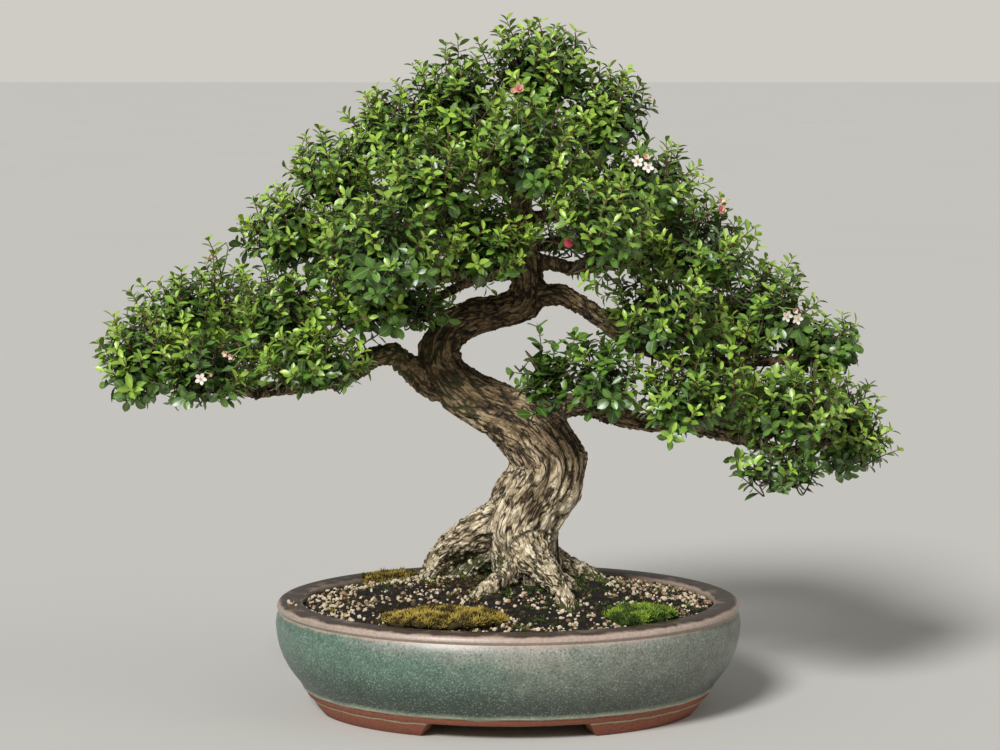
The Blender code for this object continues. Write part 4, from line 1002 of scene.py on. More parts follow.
def place_shoots(draw, balls, name, count, reach, shapes, kinds):
    """Where each shoot of a layer goes: (tip, direction, shape, scale)."""
    middle, half = balls[name]
    others = [ball for other, ball in balls.items() if other != name]
    made = []
    for direction in spread_directions(count, draw.uniform(0, math.tau)):
        scatter = Vector([draw.uniform(-SHOOT_SCATTER, SHOOT_SCATTER) for _ in range(3)])
        direction = (direction + scatter).normalized()
        out = draw.uniform(*reach) * (1 + RAGGED * noise.noise(direction * 1.6 + middle * 40))
        tip = middle + Vector([direction[k] * half[k] * out for k in range(3)])
        if any(share_of(ball, tip) < HIDDEN_SHARE * min(1.0, out) for ball in others):
            continue
        normal = Vector([direction[k] / half[k] for k in range(3)]).normalized()
        kind, upturn = kinds[0], SHOOT_UPTURN
        if normal.z < UNDERSIDE:
            if draw.random() < UNDERSIDE_GAPS:
                continue
            kind, upturn = kinds[1], UNDERSIDE_UPTURN
        elif draw.random() < SIDE_SHARE:
            kind = kinds[2]
        sway = Vector([draw.uniform(-SHOOT_SWAY, SHOOT_SWAY) for _ in range(3)])
        grows = (normal + Vector((0, 0, upturn)) + sway).normalized()
        made.append((tip, grows, draw.choice(shapes[kind]), draw.uniform(*SHOOT_SIZES)))
    return made


def bridging_shoots(draw, balls, name, shapes):
    """Shoots in the clefts between a spray and its neighbours, so that the crown closes."""
    middle, half = balls[name]
    made = []
    for other, (its_middle, its_half) in balls.items():
        apart = its_middle - middle
        along = apart.normalized()
        reach = sum(size.dot(Vector([abs(c) for c in along])) for size in (half, its_half))
        if other <= name or apart.length > reach * 1.1:
            continue
        for _ in range(BRIDGES):
            spread = Vector([draw.uniform(-1, 1) * (half[k] + its_half[k]) * 0.5 for k in range(3)])
            tip = middle + apart * draw.uniform(0.3, 0.7) + spread
            nearest = min(share_of(ball, tip) for ball in balls.values())
            if not BRIDGE_REACH[0] < nearest < BRIDGE_REACH[1]:
                continue
            outwards = (spread.normalized() + Vector((0, 0, SHOOT_UPTURN))).normalized()
            made.append((tip, outwards, draw.choice(shapes["side"]), draw.uniform(*BRIDGE_SIZES)))
    return made


def hides(tip, head):
    """True if a shoot with its tip here would cover a bloom from the front."""
    place, size = head
    apart = tip - place
    return math.hypot(apart.x, apart.z) < size and apart.y < size


def seen_at(right, down, depth):
    """The place at this depth along Y that the camera sees at a pixel of its 1000 by 750 frame."""
    focal = CAMERA_LENS_MM / CAMERA_SENSOR_MM * FRAME_PIXELS[0]
    ray = Vector((right - FRAME_PIXELS[0] / 2, FRAME_PIXELS[1] / 2 - down, -focal))
    ray.rotate(Matrix.Rotation(math.radians(CAMERA_PITCH_DEG), 3, "X"))
    start = Vector(CAMERA_PLACE)
    return start + ray * ((depth - start.y) / ray.y)


def shoot_height(shape):
    """How far above its foot a shoot reaches."""
    return max(v.co.z for v in shape.vertices)


def grow_spray(name, looks, draw, balls, shapes, wood, heads, finishes):
    """One spray of the crown: shoots in two layers, on twigs that branch from the wood."""
    bears = SPARSE.get(name, 1.0)
    outer = place_shoots(
        draw,
        balls,
        name,
        round(looks.outer_shoots * bears),
        OUTER_REACH,
        shapes,
        ("shaded" if name in SPARSE else "tip", "round", "side"),
    )
    outer += bridging_shoots(draw, balls, name, shapes)
    leaders = []
    for right, down, depth, lean, up, scale in LEADERS.get(name, ()):
        grows = Vector((lean, LEADER_TO_FRONT, up)).normalized()
        shape = draw.choice(shapes["shaded" if name in SPARSE else "tip"])
        leaders.append((seen_at(right, down, depth), grows, shape, scale))
    # The inner layer's dark old leaves are also painted shade inside the spray.
    inner = place_shoots(
        draw,
        balls,
        name,
        round(looks.inner_shoots * bears),
        INNER_REACH,
        shapes,
        ("inner",) * 3,
    )
    bm, twigs = blank(*LEAF_VALUES), blank(*LEAF_VALUES)
    feet = []
    by_hand = {tip[:] for tip, _, _, _ in leaders}
    for tip, grows, shape, scale in leaders + outer + inner:
        foot = tip - grows * shoot_height(shape) * scale
        spots = () if tip[:] in by_hand else (tip, (tip + foot) / 2)
        if any(hides(spot, head) for spot in spots for head in heads):
            continue
        turned = Matrix.Translation(foot) @ facing(grows, draw.uniform(0, math.tau))
        stamp(bm, shape, turned @ Matrix.Scale(scale, 4), shade=draw.uniform(-0.25, 0.25))
        feet.append((foot, grows, shape.name.startswith("inner")))
    feet.sort(key=lambda foot: wood.find_nearest(foot[0])[3])
    joints = []
    for foot, grows, hidden in feet:
        on_wood, _, _, far = wood.find_nearest(foot)
        start = on_wood
        nearest = min(joints, key=lambda joint: (joint - foot).length, default=None)
        if nearest is not None and (nearest - foot).length < far:
            start = nearest
        if (foot - start).length < 0.5 * MM:
            continue
        steps, sides = (2, 3) if hidden else (3, 4)
        path = bent_path(start, foot, grows, steps)
        thick = TWIG_ON_WOOD_MM if start is on_wood else TWIG_ON_TWIG_MM
        radii = [(thick - 0.2 * i / steps) * MM for i in range(steps + 1)]
        tube(twigs, path, radii, sides, 0.15, 1)
        joints += path[1:]
    bm.from_mesh(as_shape("twigs", twigs))
    piece(name + "_leaves", bm, finishes, "leaf", name)


def make_foliage(looks):
    """The crown, spray by spray."""
    draw = random.Random(FOLIAGE_SEED)
    shapes = shoot_shapes(looks)
    names = sorted(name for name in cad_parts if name.startswith("spray_"))
    balls = {name: ball_of(name) for name in names}
    wood = tree_of(merged_copy("trunk_and_limbs"))
    heads = [(bloom_head(node)[0], BLOOM_CLEARANCE) for node in list(BLOOM_HEADS) + ["berry"]]
    finishes = [leathery_leaf(looks), young_twig(looks)]
    for name in names:
        grow_spray(name, looks, draw, balls, shapes, wood, heads, finishes)


def smooth_line(points, step):
    """Points along a smooth curve through these, about a step apart, each (place, radius)."""
    places = [Vector(p[:3]) for p in points]
    made = []
    for i in range(len(points) - 1):
        before = places[max(0, i - 1)]
        after = places[min(len(places) - 1, i + 2)]
        a, b = places[i], places[i + 1]
        count = max(1, round((b - a).length / step))
        for k in range(count):
            t = k / count
            place = 0.5 * (
                2 * a
                + (b - before) * t
                + (2 * before - 5 * a + 4 * b - after) * t**2
                + (3 * a - before - 3 * b + after) * t**3
            )
            made.append((place, points[i][3] + (points[i + 1][3] - points[i][3]) * t))
    made.append((places[-1], points[-1][3]))
    return made


class GrainLine:
    """A limb's middle line, which straightens the space round it so that bark can run along it."""

    def __init__(self, points):
        self.samples = smooth_line(points, GRAIN_STEP)
        self.tree = KDTree(len(self.samples))
        self.frames = []
        side = Vector((0, 1, 0))
        travelled = 0.0
        for i, (place, _) in enumerate(self.samples):
            last = len(self.samples) - 1
            along = (self.samples[min(i + 1, last)][0] - self.samples[max(i - 1, 0)][0]).normalized()
            side = (side - along * side.dot(along)).normalized()
            if i:
                travelled += (place - self.samples[i - 1][0]).length
            self.frames.append((along, side.copy(), along.cross(side), travelled))
            self.tree.insert(place, i)
        self.tree.balance()

    def nearness(self, point):
        """How near the point is for the limb's thickness, and the sample that it is nearest to."""
        _, index, distance = self.tree.find(point)
        return distance / self.samples[index][1], index

    def straightened(self, point, index):
        """The point as it would lie if the limb were straight along Z, and the limb's radius."""
        place, radius = self.samples[index]
        along, side, up, travelled = self.frames[index]
        apart = point - place
        return Vector((apart.dot(side), apart.dot(up), travelled + apart.dot(along))), radius


def plates(place, width, stretch):
    """Bark plates in straightened space: 0 in the cracks, 1 on the plates."""
    warp = noise.noise(place * (0.35 / width)) * width * 0.9
    cell = Vector(((place.x + warp) / width, (place.y - warp) / width, place.z / (width * stretch)))
    return min(1.0, abs(noise.noise(cell)) * 3.6)


def fades(point, patch, steep):
    """How much a round patch (x, y, z, reach) covers a point: 1 about its middle, 0 past its reach."""
    return max(0.0, min(1.0, steep - steep * (point - Vector(patch[:3])).length / patch[3]))


def fine_wood(looks):
    """Trunk, roots and limbs with cracked bark: the CAD wood in small faces, its grain cut in."""
    bm = remeshed(merged_copy("trunk_and_limbs"), looks.voxel)
    every_axis = {f"use_axis_{axis}": True for axis in "xyz"}
    for _ in range(BARK_SMOOTHING):
        bmesh.ops.smooth_vert(bm, verts=bm.verts[:], factor=0.5, **every_axis)
    relief, moss, scar = with_values(bm, "relief", "moss", "scar")
    grain = bm.verts.layers.float_vector.new("grain")
    lines = [GrainLine(points) for points in GRAIN_LINES.values()]
    bm.normal_update()
    moved = []
    for v in bm.verts:
        point = v.co.copy()
        nearest = min((line.nearness(point) + (line,) for line in lines), key=lambda found: found[0])
        ratio, index, line = nearest
        if ratio < GRAIN_REACH:
            place, radius = line.straightened(point, index)
            place = place + Vector((0, 0, lines.index(line) * GRAIN_APART))
        else:
            place, radius = point, THIN_RADIUS
        size = min(1.0, radius / FULL_PLATE_RADIUS)
        width = looks.plate_width * (0.45 + 0.55 * size)
        tall = plates(place, width, PLATE_STRETCH)
        wider, stretch = BROAD_PLATES
        broad = plates(place + Vector((0.3, 0.1, 0.2)), width * wider, stretch)
        crumb = noise.noise(point * CRUMB_SCALE)
        height = sum(share * part for share, part in zip(BARK_MIX, (tall, broad, crumb)))
        v[relief] = height
        v[grain] = place
        v[moss] = max(m[4] * fades(point, m, 1.6) for m in BARK_MOSS)
        v[scar] = fades(point, SCAR, 2)
        depth = looks.plate_depth * (0.25 + 0.75 * size) * (1 - 0.6 * v[scar])
        moved.append(v.normal * ((height - BARK_LEVEL) * depth + 0.25 * MM))
    for v, shift in zip(bm.verts, moved):
        v.co += shift
    smooth_faces(bm)
    piece("trunk_and_limbs_bark", bm, [weathered_bark(looks)], "bark", "trunk_and_limbs")


def oval(inset, angle, z):
    """A place on the pot's oval, this far in from the belly."""
    return Vector(
        ((POT_HALF_LENGTH - inset) * math.cos(angle), (POT_HALF_DEPTH - inset) * math.sin(angle), z)
    )


def lofted(bm, edges, rings):
    """Extrudes edges ring by ring. A ring gives each point's place from the point that it grew from."""
    for ring in rings:
        made = bmesh.ops.extrude_edge_only(bm, edges=edges)["geom"]
        edges = [g for g in made if isinstance(g, bmesh.types.BMEdge)]
        for v in made:
            if isinstance(v, bmesh.types.BMVert):
                v.co = ring(v)
    return edges


def pot_bowl(looks):
    """The oval bowl, drawn ring by ring along its profile. Each point keeps its turn round the oval."""
    bm = bmesh.new()
    turn = bm.verts.layers.float.new("turn")
    bmesh.ops.create_circle(bm, cap_ends=True, segments=looks.sides, radius=1.0)
    for v in bm.verts:
        v[turn] = math.atan2(v.co.y, v.co.x)
        v.co = oval(POT_PROFILE[0][0], v[turn], POT_PROFILE[0][1])
    rings = [lambda v, inset=inset, z=z: oval(inset, v[turn], z) for inset, z in POT_PROFILE[1:]]
    last = lofted(bm, bm.edges[:], rings)
    bmesh.ops.contextual_create(bm, geom=last)
    bmesh.ops.recalc_face_normals(bm, faces=bm.faces[:])
    return bm


def pot_feet():
    """Four low feet that follow the oval round its corners, with ends that slope in to the sole."""
    bm = bmesh.new()
    inset, height = with_values(bm, "inset", "height")
    first, last = (math.radians(degrees) for degrees in FOOT_ARC_DEG)
    taper = math.radians(FOOT_TAPER_DEG)

    def section(along):
        def placed(v):
            lean = taper * (1 - 2 * along) * (1 - min(1.0, v[height] / FOOT_TOP))
            return oval(v[inset], first + (last - first) * along + lean, v[height])

        return placed

    corners = []
    for corner in FOOT_SECTION:
        v = bm.verts.new()
        v[inset], v[height] = corner
        v.co = section(0.0)(v)
        corners.append(v)
    edges = [bm.edges.new((a, b)) for a, b in zip(corners, corners[1:] + corners[:1])]
    bmesh.ops.contextual_create(bm, geom=edges)
    rings = [section((i + 1) / FOOT_STEPS) for i in range(FOOT_STEPS)]
    bmesh.ops.contextual_create(bm, geom=lofted(bm, edges, rings))
    for axis in "XY":
        bmesh.ops.mirror(bm, geom=bm.faces[:] + bm.edges[:] + bm.verts[:], axis=axis, merge_dist=-1)
    bmesh.ops.recalc_face_normals(bm, faces=bm.faces[:])
    return bm


def combined(bm, other, operation):
    """The Boolean of two solids, as a new bmesh."""
    carriers = []
    for part in (bm, other):
        carrier = bpy.data.objects.new("operand", as_shape("operand", part))
        bpy.context.scene.collection.objects.link(carrier)
        carriers.append(carrier)
    modifier = carriers[0].modifiers.new("combine", "BOOLEAN")
    modifier.operation = operation
    modifier.object = carriers[1]
    made = bmesh.new()
    made.from_object(carriers[0], bpy.context.evaluated_depsgraph_get())
    for carrier in carriers:
        mesh = carrier.data
        bpy.data.objects.remove(carrier)
        bpy.data.meshes.remove(mesh)
    return made


def crease(bm, degrees):
    """Smooth faces that meet in a sharp edge where they turn by more than these degrees."""
    smooth_faces(bm)
    for edge in bm.edges:
        edge.smooth = len(edge.link_faces) == 2 and edge.calc_face_angle() < math.radians(degrees)


def make_pot(looks):
    """The pot: bowl and feet in one, with its two drain holes."""
    bm = combined(pot_bowl(looks), pot_feet(), "UNION")
    drains = bmesh.new()
    for x in (-DRAIN_X, DRAIN_X):
        bmesh.ops.create_cone(
            drains,
            cap_ends=True,
            segments=32,
            radius1=DRAIN_RADIUS,
            radius2=DRAIN_RADIUS,
            depth=DRAIN_CUT,
            matrix=Matrix.Translation((x, 0, FOOT_TOP)),
        )
    bm = combined(bm, drains, "DIFFERENCE")
    crease(bm, 38)
    piece("pot_glazed", bm, [speckled_stoneware(looks)], "glaze", "pot")


def finish_drain_mesh(looks):
    """The carried-over plastic mesh under the soil: extruded black plastic, dusty with soil."""
    ends = (looks.grit_dark, looks.grit_dark, looks.soil_light)
    plastic = tinted("dusty_black_plastic_mesh", ends, 0.5, 3.0 * MM)
    for node in ("drain_mesh_left", "drain_mesh_right"):
        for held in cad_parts[node].material_slots:
            held.material = plastic


def make_soil(looks):
    """Dark gritty soil, its top crumbled."""
    bm = remeshed(merged_copy("soil"), looks.voxel)
    bm.normal_update()
    (tint,) = with_values(bm, "tint")
    for v in bm.verts:
        crumb = noise.fractal(v.co * 260, 0.6, 2.0, 3)
        v[tint] = 0.22 + 0.5 * crumb
        if v.normal.z > 0.3:
            v.co.z += CRUMB_RELIEF * crumb
    smooth_faces(bm)
    # Damp earth is nearly black and dull, and browner where its crumbs have dried.
    finish = tinted("damp_gritty_soil", (looks.soil, looks.soil, looks.soil_light), 0.95, 2.0 * MM)
    piece("soil_crumbled", bm, [finish], "soil", "soil")


def pebble_shapes(draw):
    """Angular grains one unit across, each squashed its own way."""
    made = []
    for i in range(GRIT_VARIANTS):
        bm = blank("tint")
        bmesh.ops.create_icosphere(bm, subdivisions=1, radius=0.5)
        for v in bm.verts:
            v.co *= draw.uniform(0.72, 1.12)
        bmesh.ops.scale(bm, vec=(1.0, draw.uniform(0.7, 1.0), draw.uniform(0.55, 0.8)), verts=bm.verts[:])
        made.append(as_shape(f"pebble_{i}", bm))
    return made


def oval_spot(angle, out):
    """The x and y of a place in the lip's opening, out being 0 at its middle and 1 at its edge."""
    x = (POT_HALF_LENGTH - LIP_INSET) * out * math.cos(angle)
    y = (POT_HALF_DEPTH - LIP_INSET) * out * math.sin(angle)
    return x, y


def any_turn(draw):
    """A turn about any axis by any angle."""
    axis = Vector([draw.uniform(-1, 1) for _ in range(3)]).normalized()
    return Matrix.Rotation(draw.uniform(0, math.tau), 4, axis)


def grit_tint(draw, kind, x):
    """How pale a grain is, from dark lava at 0 to white pumice. There is more tan to the right."""
    if kind == "dark":
        return draw.uniform(-0.15, 0.10)
    if draw.random() < (0.40 if x > 0.05 else 0.18):
        return draw.uniform(0.20, 0.45)
    return draw.uniform(0.50, 0.95)


def ground_trees():
    """What grains and moss flecks meet: the crumbled soil, the wood and the moss cushions."""
    soil = bmesh.new()
    soil.from_mesh(bpy.data.objects["soil_crumbled"].data)
    cushions = {node: tree_of(merged_copy(node)) for node in MOSS_NODES}
    return tree_of(soil), tree_of(merged_copy("trunk_and_limbs")), cushions


def spot_below(ground, x, y):
    """Where the soil's top is at x and y, or None where it lies too low or isn't there."""
    spot = ground.ray_cast(Vector((x, y, GRIT_FROM_Z)), Vector((0, 0, -1)))[0]
    return None if spot is None or spot.z < GRIT_LOWEST_Z else spot


def make_grit(looks):
    """Pumice, tan and lava grains pressed into the soil, with a few spilled on the pot's lip."""
    draw = random.Random(GRIT_SEED)
    shapes = pebble_shapes(draw)
    ground, wood, cushions = ground_trees()
    for kind, count, smallest, largest in GRIT_KINDS:
        bm = blank("tint")
        placed = 0
        while placed < count:
            angle = draw.uniform(0, math.tau)
            out = math.sqrt(draw.random()) * GRIT_REACH
            x, y = oval_spot(angle, out)
            drift = noise.noise(Vector((x, y, 0)) * 26) + 0.9 * (out - 0.62)
            if kind == "pale" and drift < draw.uniform(-0.55, 0.25):
                continue
            size = smallest + (largest - smallest) * draw.random() ** 2
            spot = spot_below(ground, x, y)
            placed += 1
            if spot is None or wood.find_nearest(spot)[3] < size * 0.4:
                continue
            if any(cushion.find_nearest(spot)[3] < size * 0.6 for cushion in cushions.values()):
                continue
            place = Matrix.Translation(spot + Vector((0, 0, size * GRIT_STANDS)))
            stamp(
                bm,
                draw.choice(shapes),
                place @ any_turn(draw) @ Matrix.Scale(size, 4),
                tint=grit_tint(draw, kind, x),
            )
        if kind == "pale":
            for x, y, z, size, tint in LOOSE_GRAINS:
                place = Matrix.Translation((x, y, z)) @ any_turn(draw) @ Matrix.Scale(size, 4)
                stamp(bm, draw.choice(shapes), place, tint=tint)
        # Crushed pumice is chalky white to tan and lava nearly black, both quite dull.
        ends = (looks.grit_dark, looks.grit_warm, looks.grit)
        finish = tinted(f"{kind}_pumice_grit", ends, 0.9, 1.2 * MM)
        piece(f"{kind}_grit", bm, [finish], "soil")


def tuft_shape(draw, finish):
    """A star of five moss leaves one unit high."""
    bm = bmesh.new()
    (tint,) = with_values(bm, "tint")
    for k in range(5):
        made = bmesh.ops.create_cone(
            bm,
            cap_ends=True,
            segments=3,
            radius1=0.16,
            radius2=0.0,
            depth=1.0,
            matrix=Matrix.Translation((0, 0, 0.5)),
        )["verts"]
        lean = Matrix.Rotation(math.tau * k / 5 + draw.uniform(-0.3, 0.3), 4, "Z")
        lean = lean @ Matrix.Rotation(draw.uniform(0.25, 0.95), 4, "X")
        for v in made:
            v[tint] = 0.80 if v.co.z > 0.5 else 0.10
        bmesh.ops.transform(bm, matrix=lean, verts=made)
    return as_shape("tuft", bm, finish)


def moss_finishes(looks):
    """Living moss, soft and matt: bright tips over brown depths where dry, dark green where damp."""
    dry = (looks.dry_moss_base, looks.dry_moss_base, looks.dry_moss)
    green = (looks.green_moss_base, looks.green_moss_base, looks.green_moss)
    return [
        tinted("dry_cushion_moss", dry, 0.9, 5 * MM, "tint", 0.5 * MM),
        tinted("green_cushion_moss", green, 0.9, 5 * MM, "tint", 0.5 * MM),
    ]


def make_moss(looks):
    """Moss cushions of close tufts, and flecks of moss on the soil and about the roots."""
    draw = random.Random(MOSS_SEED)
    finishes = moss_finishes(looks)
    tufts = [[tuft_shape(draw, finish) for _ in range(5)] for finish in range(len(finishes))]
    for node, kind in MOSS_NODES.items():
        bm = remeshed(merged_copy(node), MOSS_MESH)
        bm.normal_update()
        (tint,) = with_values(bm, "tint")
        seats = []
        for v in bm.verts:
            v.co += v.normal * (MOSS_LUMP * noise.noise(v.co * 150))
            v[tint] = 0.05
            if v.normal.z > 0.05:
                seats.append((v.co.copy(), v.normal.copy()))
        for face in bm.faces:
            face.smooth = True
            face.material_index = kind
        for _ in range(round(len(seats) * MOSS_TUFTS_PER_SEAT)):
            place, normal = draw.choice(seats)
            place = place + Vector([draw.uniform(-1, 1) for _ in range(3)]) * MM
            up = (normal + Vector((0, 0, 0.8))).normalized()
            size = looks.tuft * draw.uniform(0.6, 1.15)
            turned = Matrix.Translation(place - up * size * 0.3) @ facing(up, draw.uniform(0, math.tau))
            patch = 0.60 * noise.noise(place * 110)
            stamp(
                bm,
                draw.choice(tufts[kind]),
                turned @ Matrix.Scale(size, 4),
                tint=patch + draw.uniform(-0.15, 0.15),
            )
        piece(node + "_tufts", bm, finishes, "moss", node)
    scatter_flecks(looks, draw, tufts, finishes)


def scatter_flecks(looks, draw, tufts, finishes):
    """Small tufts on the soil, close about the cushions and the roots and in drifts between."""
    ground, wood, cushions = ground_trees()
    bm = blank("tint")
    for _ in range(MOSS_FLECKS):
        angle = draw.uniform(0, math.tau)
        x, y = oval_spot(angle, draw.random() ** 0.7 * FLECK_REACH)
        spot = spot_below(ground, x, y)
        if spot is None:
            continue
        kind = DRY if x < -0.02 and y < 0.0 else GREEN
        chance = DRIFT_MOSS if noise.noise(Vector((x, y, 0.3)) * 40) > 0.05 else BARE_MOSS
        chance = max(chance, 0.9 * math.exp(-wood.find_nearest(spot)[3] / ROOT_MOSS_REACH))
        for node, cushion in cushions.items():
            near = math.exp(-cushion.find_nearest(spot)[3] / CUSHION_MOSS_REACH)
            if near > chance:
                chance, kind = near, MOSS_NODES[node]
        if draw.random() > chance:
            continue
        size = looks.tuft * draw.uniform(0.35, 0.75)
        turned = Matrix.Translation(spot) @ Matrix.Rotation(draw.uniform(0, math.tau), 4, "Z")
        stamp(
            bm,
            draw.choice(tufts[kind]),
            turned @ Matrix.Scale(size, 4),
            tint=draw.uniform(-0.45, 0.05),
        )
    piece("moss_flecks", bm, finishes, "moss")


def bloom_head(node):
    """Where a CAD bloom's head is: the middle of its petals, which lie farthest from the crown's middle."""
    points = [v.co.copy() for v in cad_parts[node].data.vertices]
    middle = sum(points, Vector()) / len(points)
    outer = sorted(points, key=lambda p: (p - CROWN_MIDDLE).length)[len(points) // 2 :]
    head = sum(outer, Vector()) / len(outer)
    return head, (head - middle).normalized()


def part_shapes(long):
    """The parts of a flower at their real sizes: petal, sepal, stamen, heart and bud."""
    petal = blade_shape("petal", 0.30, 4, 1.25, 0.12, -0.25, 0.04, 0)
    sepal = blade_shape("sepal", 0.26, 2, 0.90, 0.20, 0.10, 0.05, 2)
    for shape, size in ((petal, long), (sepal, long * 0.45)):
        shape.transform(Matrix.Scale(size, 4))
    stamen = blank(*LEAF_VALUES)
    tip = Vector((0.75, 0, 1.3)) * MM
    tube(stamen, [Vector((0.1 * MM, 0, 0)), tip], [0.10 * MM, 0.08 * MM], 3, 0.3, 1)
    bmesh.ops.create_icosphere(stamen, subdivisions=1, radius=0.26 * MM, matrix=Matrix.Translation(tip))
    made = {"petal": petal, "sepal": sepal, "stamen": as_shape("stamen", stamen, 1)}
    for name, radius, tall, finish in (("heart", 0.75 * MM, 0.7, 1), ("bud", long * 0.24, 1.25, 0)):
        bm = blank(*LEAF_VALUES)
        bmesh.ops.create_icosphere(
            bm, subdivisions=2, radius=radius, matrix=Matrix.Diagonal((1, 1, tall, 1))
        )
        smooth_faces(bm)
        made[name] = as_shape(name, bm, finish)
    return made


def ring_of(bm, shape, place, count, rise, spin, **values):
    """Petals, sepals or stamens round a head."""
    for k in range(count):
        turned = place @ Matrix.Rotation(spin + math.tau * k / count, 4, "Z")
        stamp(bm, shape, turned @ Matrix.Rotation(-rise, 4, "Y"), **values)


def flower(bm, kind, place, direction, looks, parts, draw):
    """One head at a stage, facing this way."""
    turned = Matrix.Translation(place) @ facing(direction, draw.uniform(0, math.tau))
    rise, blush, size = STAGES[kind]
    spin = draw.uniform(0, math.tau)
    scaled = turned @ Matrix.Scale(size, 4)
    ring_of(bm, parts["petal"], scaled, 5, rise, spin, youth=blush)
    if kind == "rose":
        ring_of(bm, parts["petal"], scaled @ Matrix.Scale(0.8, 4), 5, 1.15, spin + 0.6, youth=0.8)
    back = turned @ Matrix.Translation((0, 0, -0.3 * MM))
    ring_of(bm, parts["sepal"], back, 5, rise + 0.1, spin + 0.6)
    if kind == "bud":
        inside = Matrix.Translation((0, 0, looks.petal_length * 0.28))
        stamp(bm, parts["bud"], turned @ inside, youth=0.5)
    elif kind != "rose":
        stamp(bm, parts["heart"], turned @ Matrix.Translation((0, 0, 0.35 * MM)), youth=0.5)
        ring_of(bm, parts["stamen"], turned, 9, 0.0, spin, youth=0.3)


def make_blooms(looks):
    """The blooms and buds, each cluster on stalks that rise from the wood."""
    draw = random.Random(BLOOM_SEED)
    parts = part_shapes(looks.petal_length)
    wood = tree_of(merged_copy("trunk_and_limbs"))
    # Petals are thin and satiny, stamens dusty with pollen, sepals like young leaves.
    petal_ends = (looks.white, looks.blush, looks.rose)
    finishes = [
        tinted("thin_white_petal", petal_ends, 0.6, 2.5 * MM, "youth", 0.1 * MM),
        tinted("yellow_stamen", (looks.centre, looks.centre, looks.blush), 0.7, 1.0 * MM, "youth"),
        tinted("green_sepal", (looks.sepal, looks.sepal, looks.blush), 0.6, 1.5 * MM, "youth"),
    ]
    for node, heads in BLOOM_HEADS.items():
        head, outwards = bloom_head(node)
        bm, stalks = blank(*LEAF_VALUES), blank(*LEAF_VALUES)
        root = wood.find_nearest(head)[0]
        fork = head - outwards * 9 * MM
        tube(stalks, bent_path(root, fork, outwards, 5), [0.6 * MM] * 3 + [0.5 * MM] * 3, 5, 0.0, 2)
        for kind, right, up, near in heads:
            place = head + Vector((right, -near, up)) * MM
            direction = (outwards + Vector((0, -1.3, 0.1))).normalized()
            stalk = bent_path(fork, place, direction, 4)
            tube(stalks, stalk, [0.45 * MM, 0.42 * MM, 0.40 * MM, 0.42 * MM, 0.5 * MM], 5, 0.0, 2)
            flower(bm, kind, place, direction, looks, parts, draw)
        bm.from_mesh(as_shape("stalks", stalks))
        piece(node + "_petals", bm, finishes, "petal", node)


def make_berry(looks):
    """The ripe berry, with the dried cup of its flower at its tip."""
    head, outwards = bloom_head("berry")
    wood = tree_of(merged_copy("trunk_and_limbs"))
    fruit = blank(*LEAF_VALUES)
    bmesh.ops.create_uvsphere(
        fruit,
        u_segments=24,
        v_segments=14,
        radius=BERRY_RADIUS,
        matrix=Matrix.Diagonal((1, 1, 0.94, 1)),
    )
    smooth_faces(fruit)
    sepal = part_shapes(BERRY_RADIUS * 1.2)["sepal"]
    for face in sepal.polygons:
        face.material_index = 1
    turned = Matrix.Translation(head) @ facing(outwards)
    bm = blank(*LEAF_VALUES)
    stamp(bm, as_shape("fruit", fruit), turned)
    tip = turned @ Matrix.Translation((0, 0, BERRY_RADIUS * 0.88))
    ring_of(bm, sepal, tip, 5, 0.7, 0.0, youth=0.4)
    stalk = blank(*LEAF_VALUES)
    root = wood.find_nearest(head)[0]
    foot = head - outwards * BERRY_RADIUS * 0.8
    tube(stalk, bent_path(root, foot, outwards, 6), [0.6 * MM] * 7, 5, 0.2, 1)
    bm.from_mesh(as_shape("stalk", stalk))
    # A ripe berry's taut skin has a clear gloss, and its dried stalk has none.
    skin = tinted("glossy_berry_skin", (looks.berry, looks.berry, looks.berry), 0.28, 3.0 * MM)
    dry = tinted("dry_berry_stalk", (looks.sepal, looks.blush, looks.sepal), 0.7, 1.0 * MM, "youth")
    piece("berry_ripe", bm, [skin, dry], "berry", "berry")


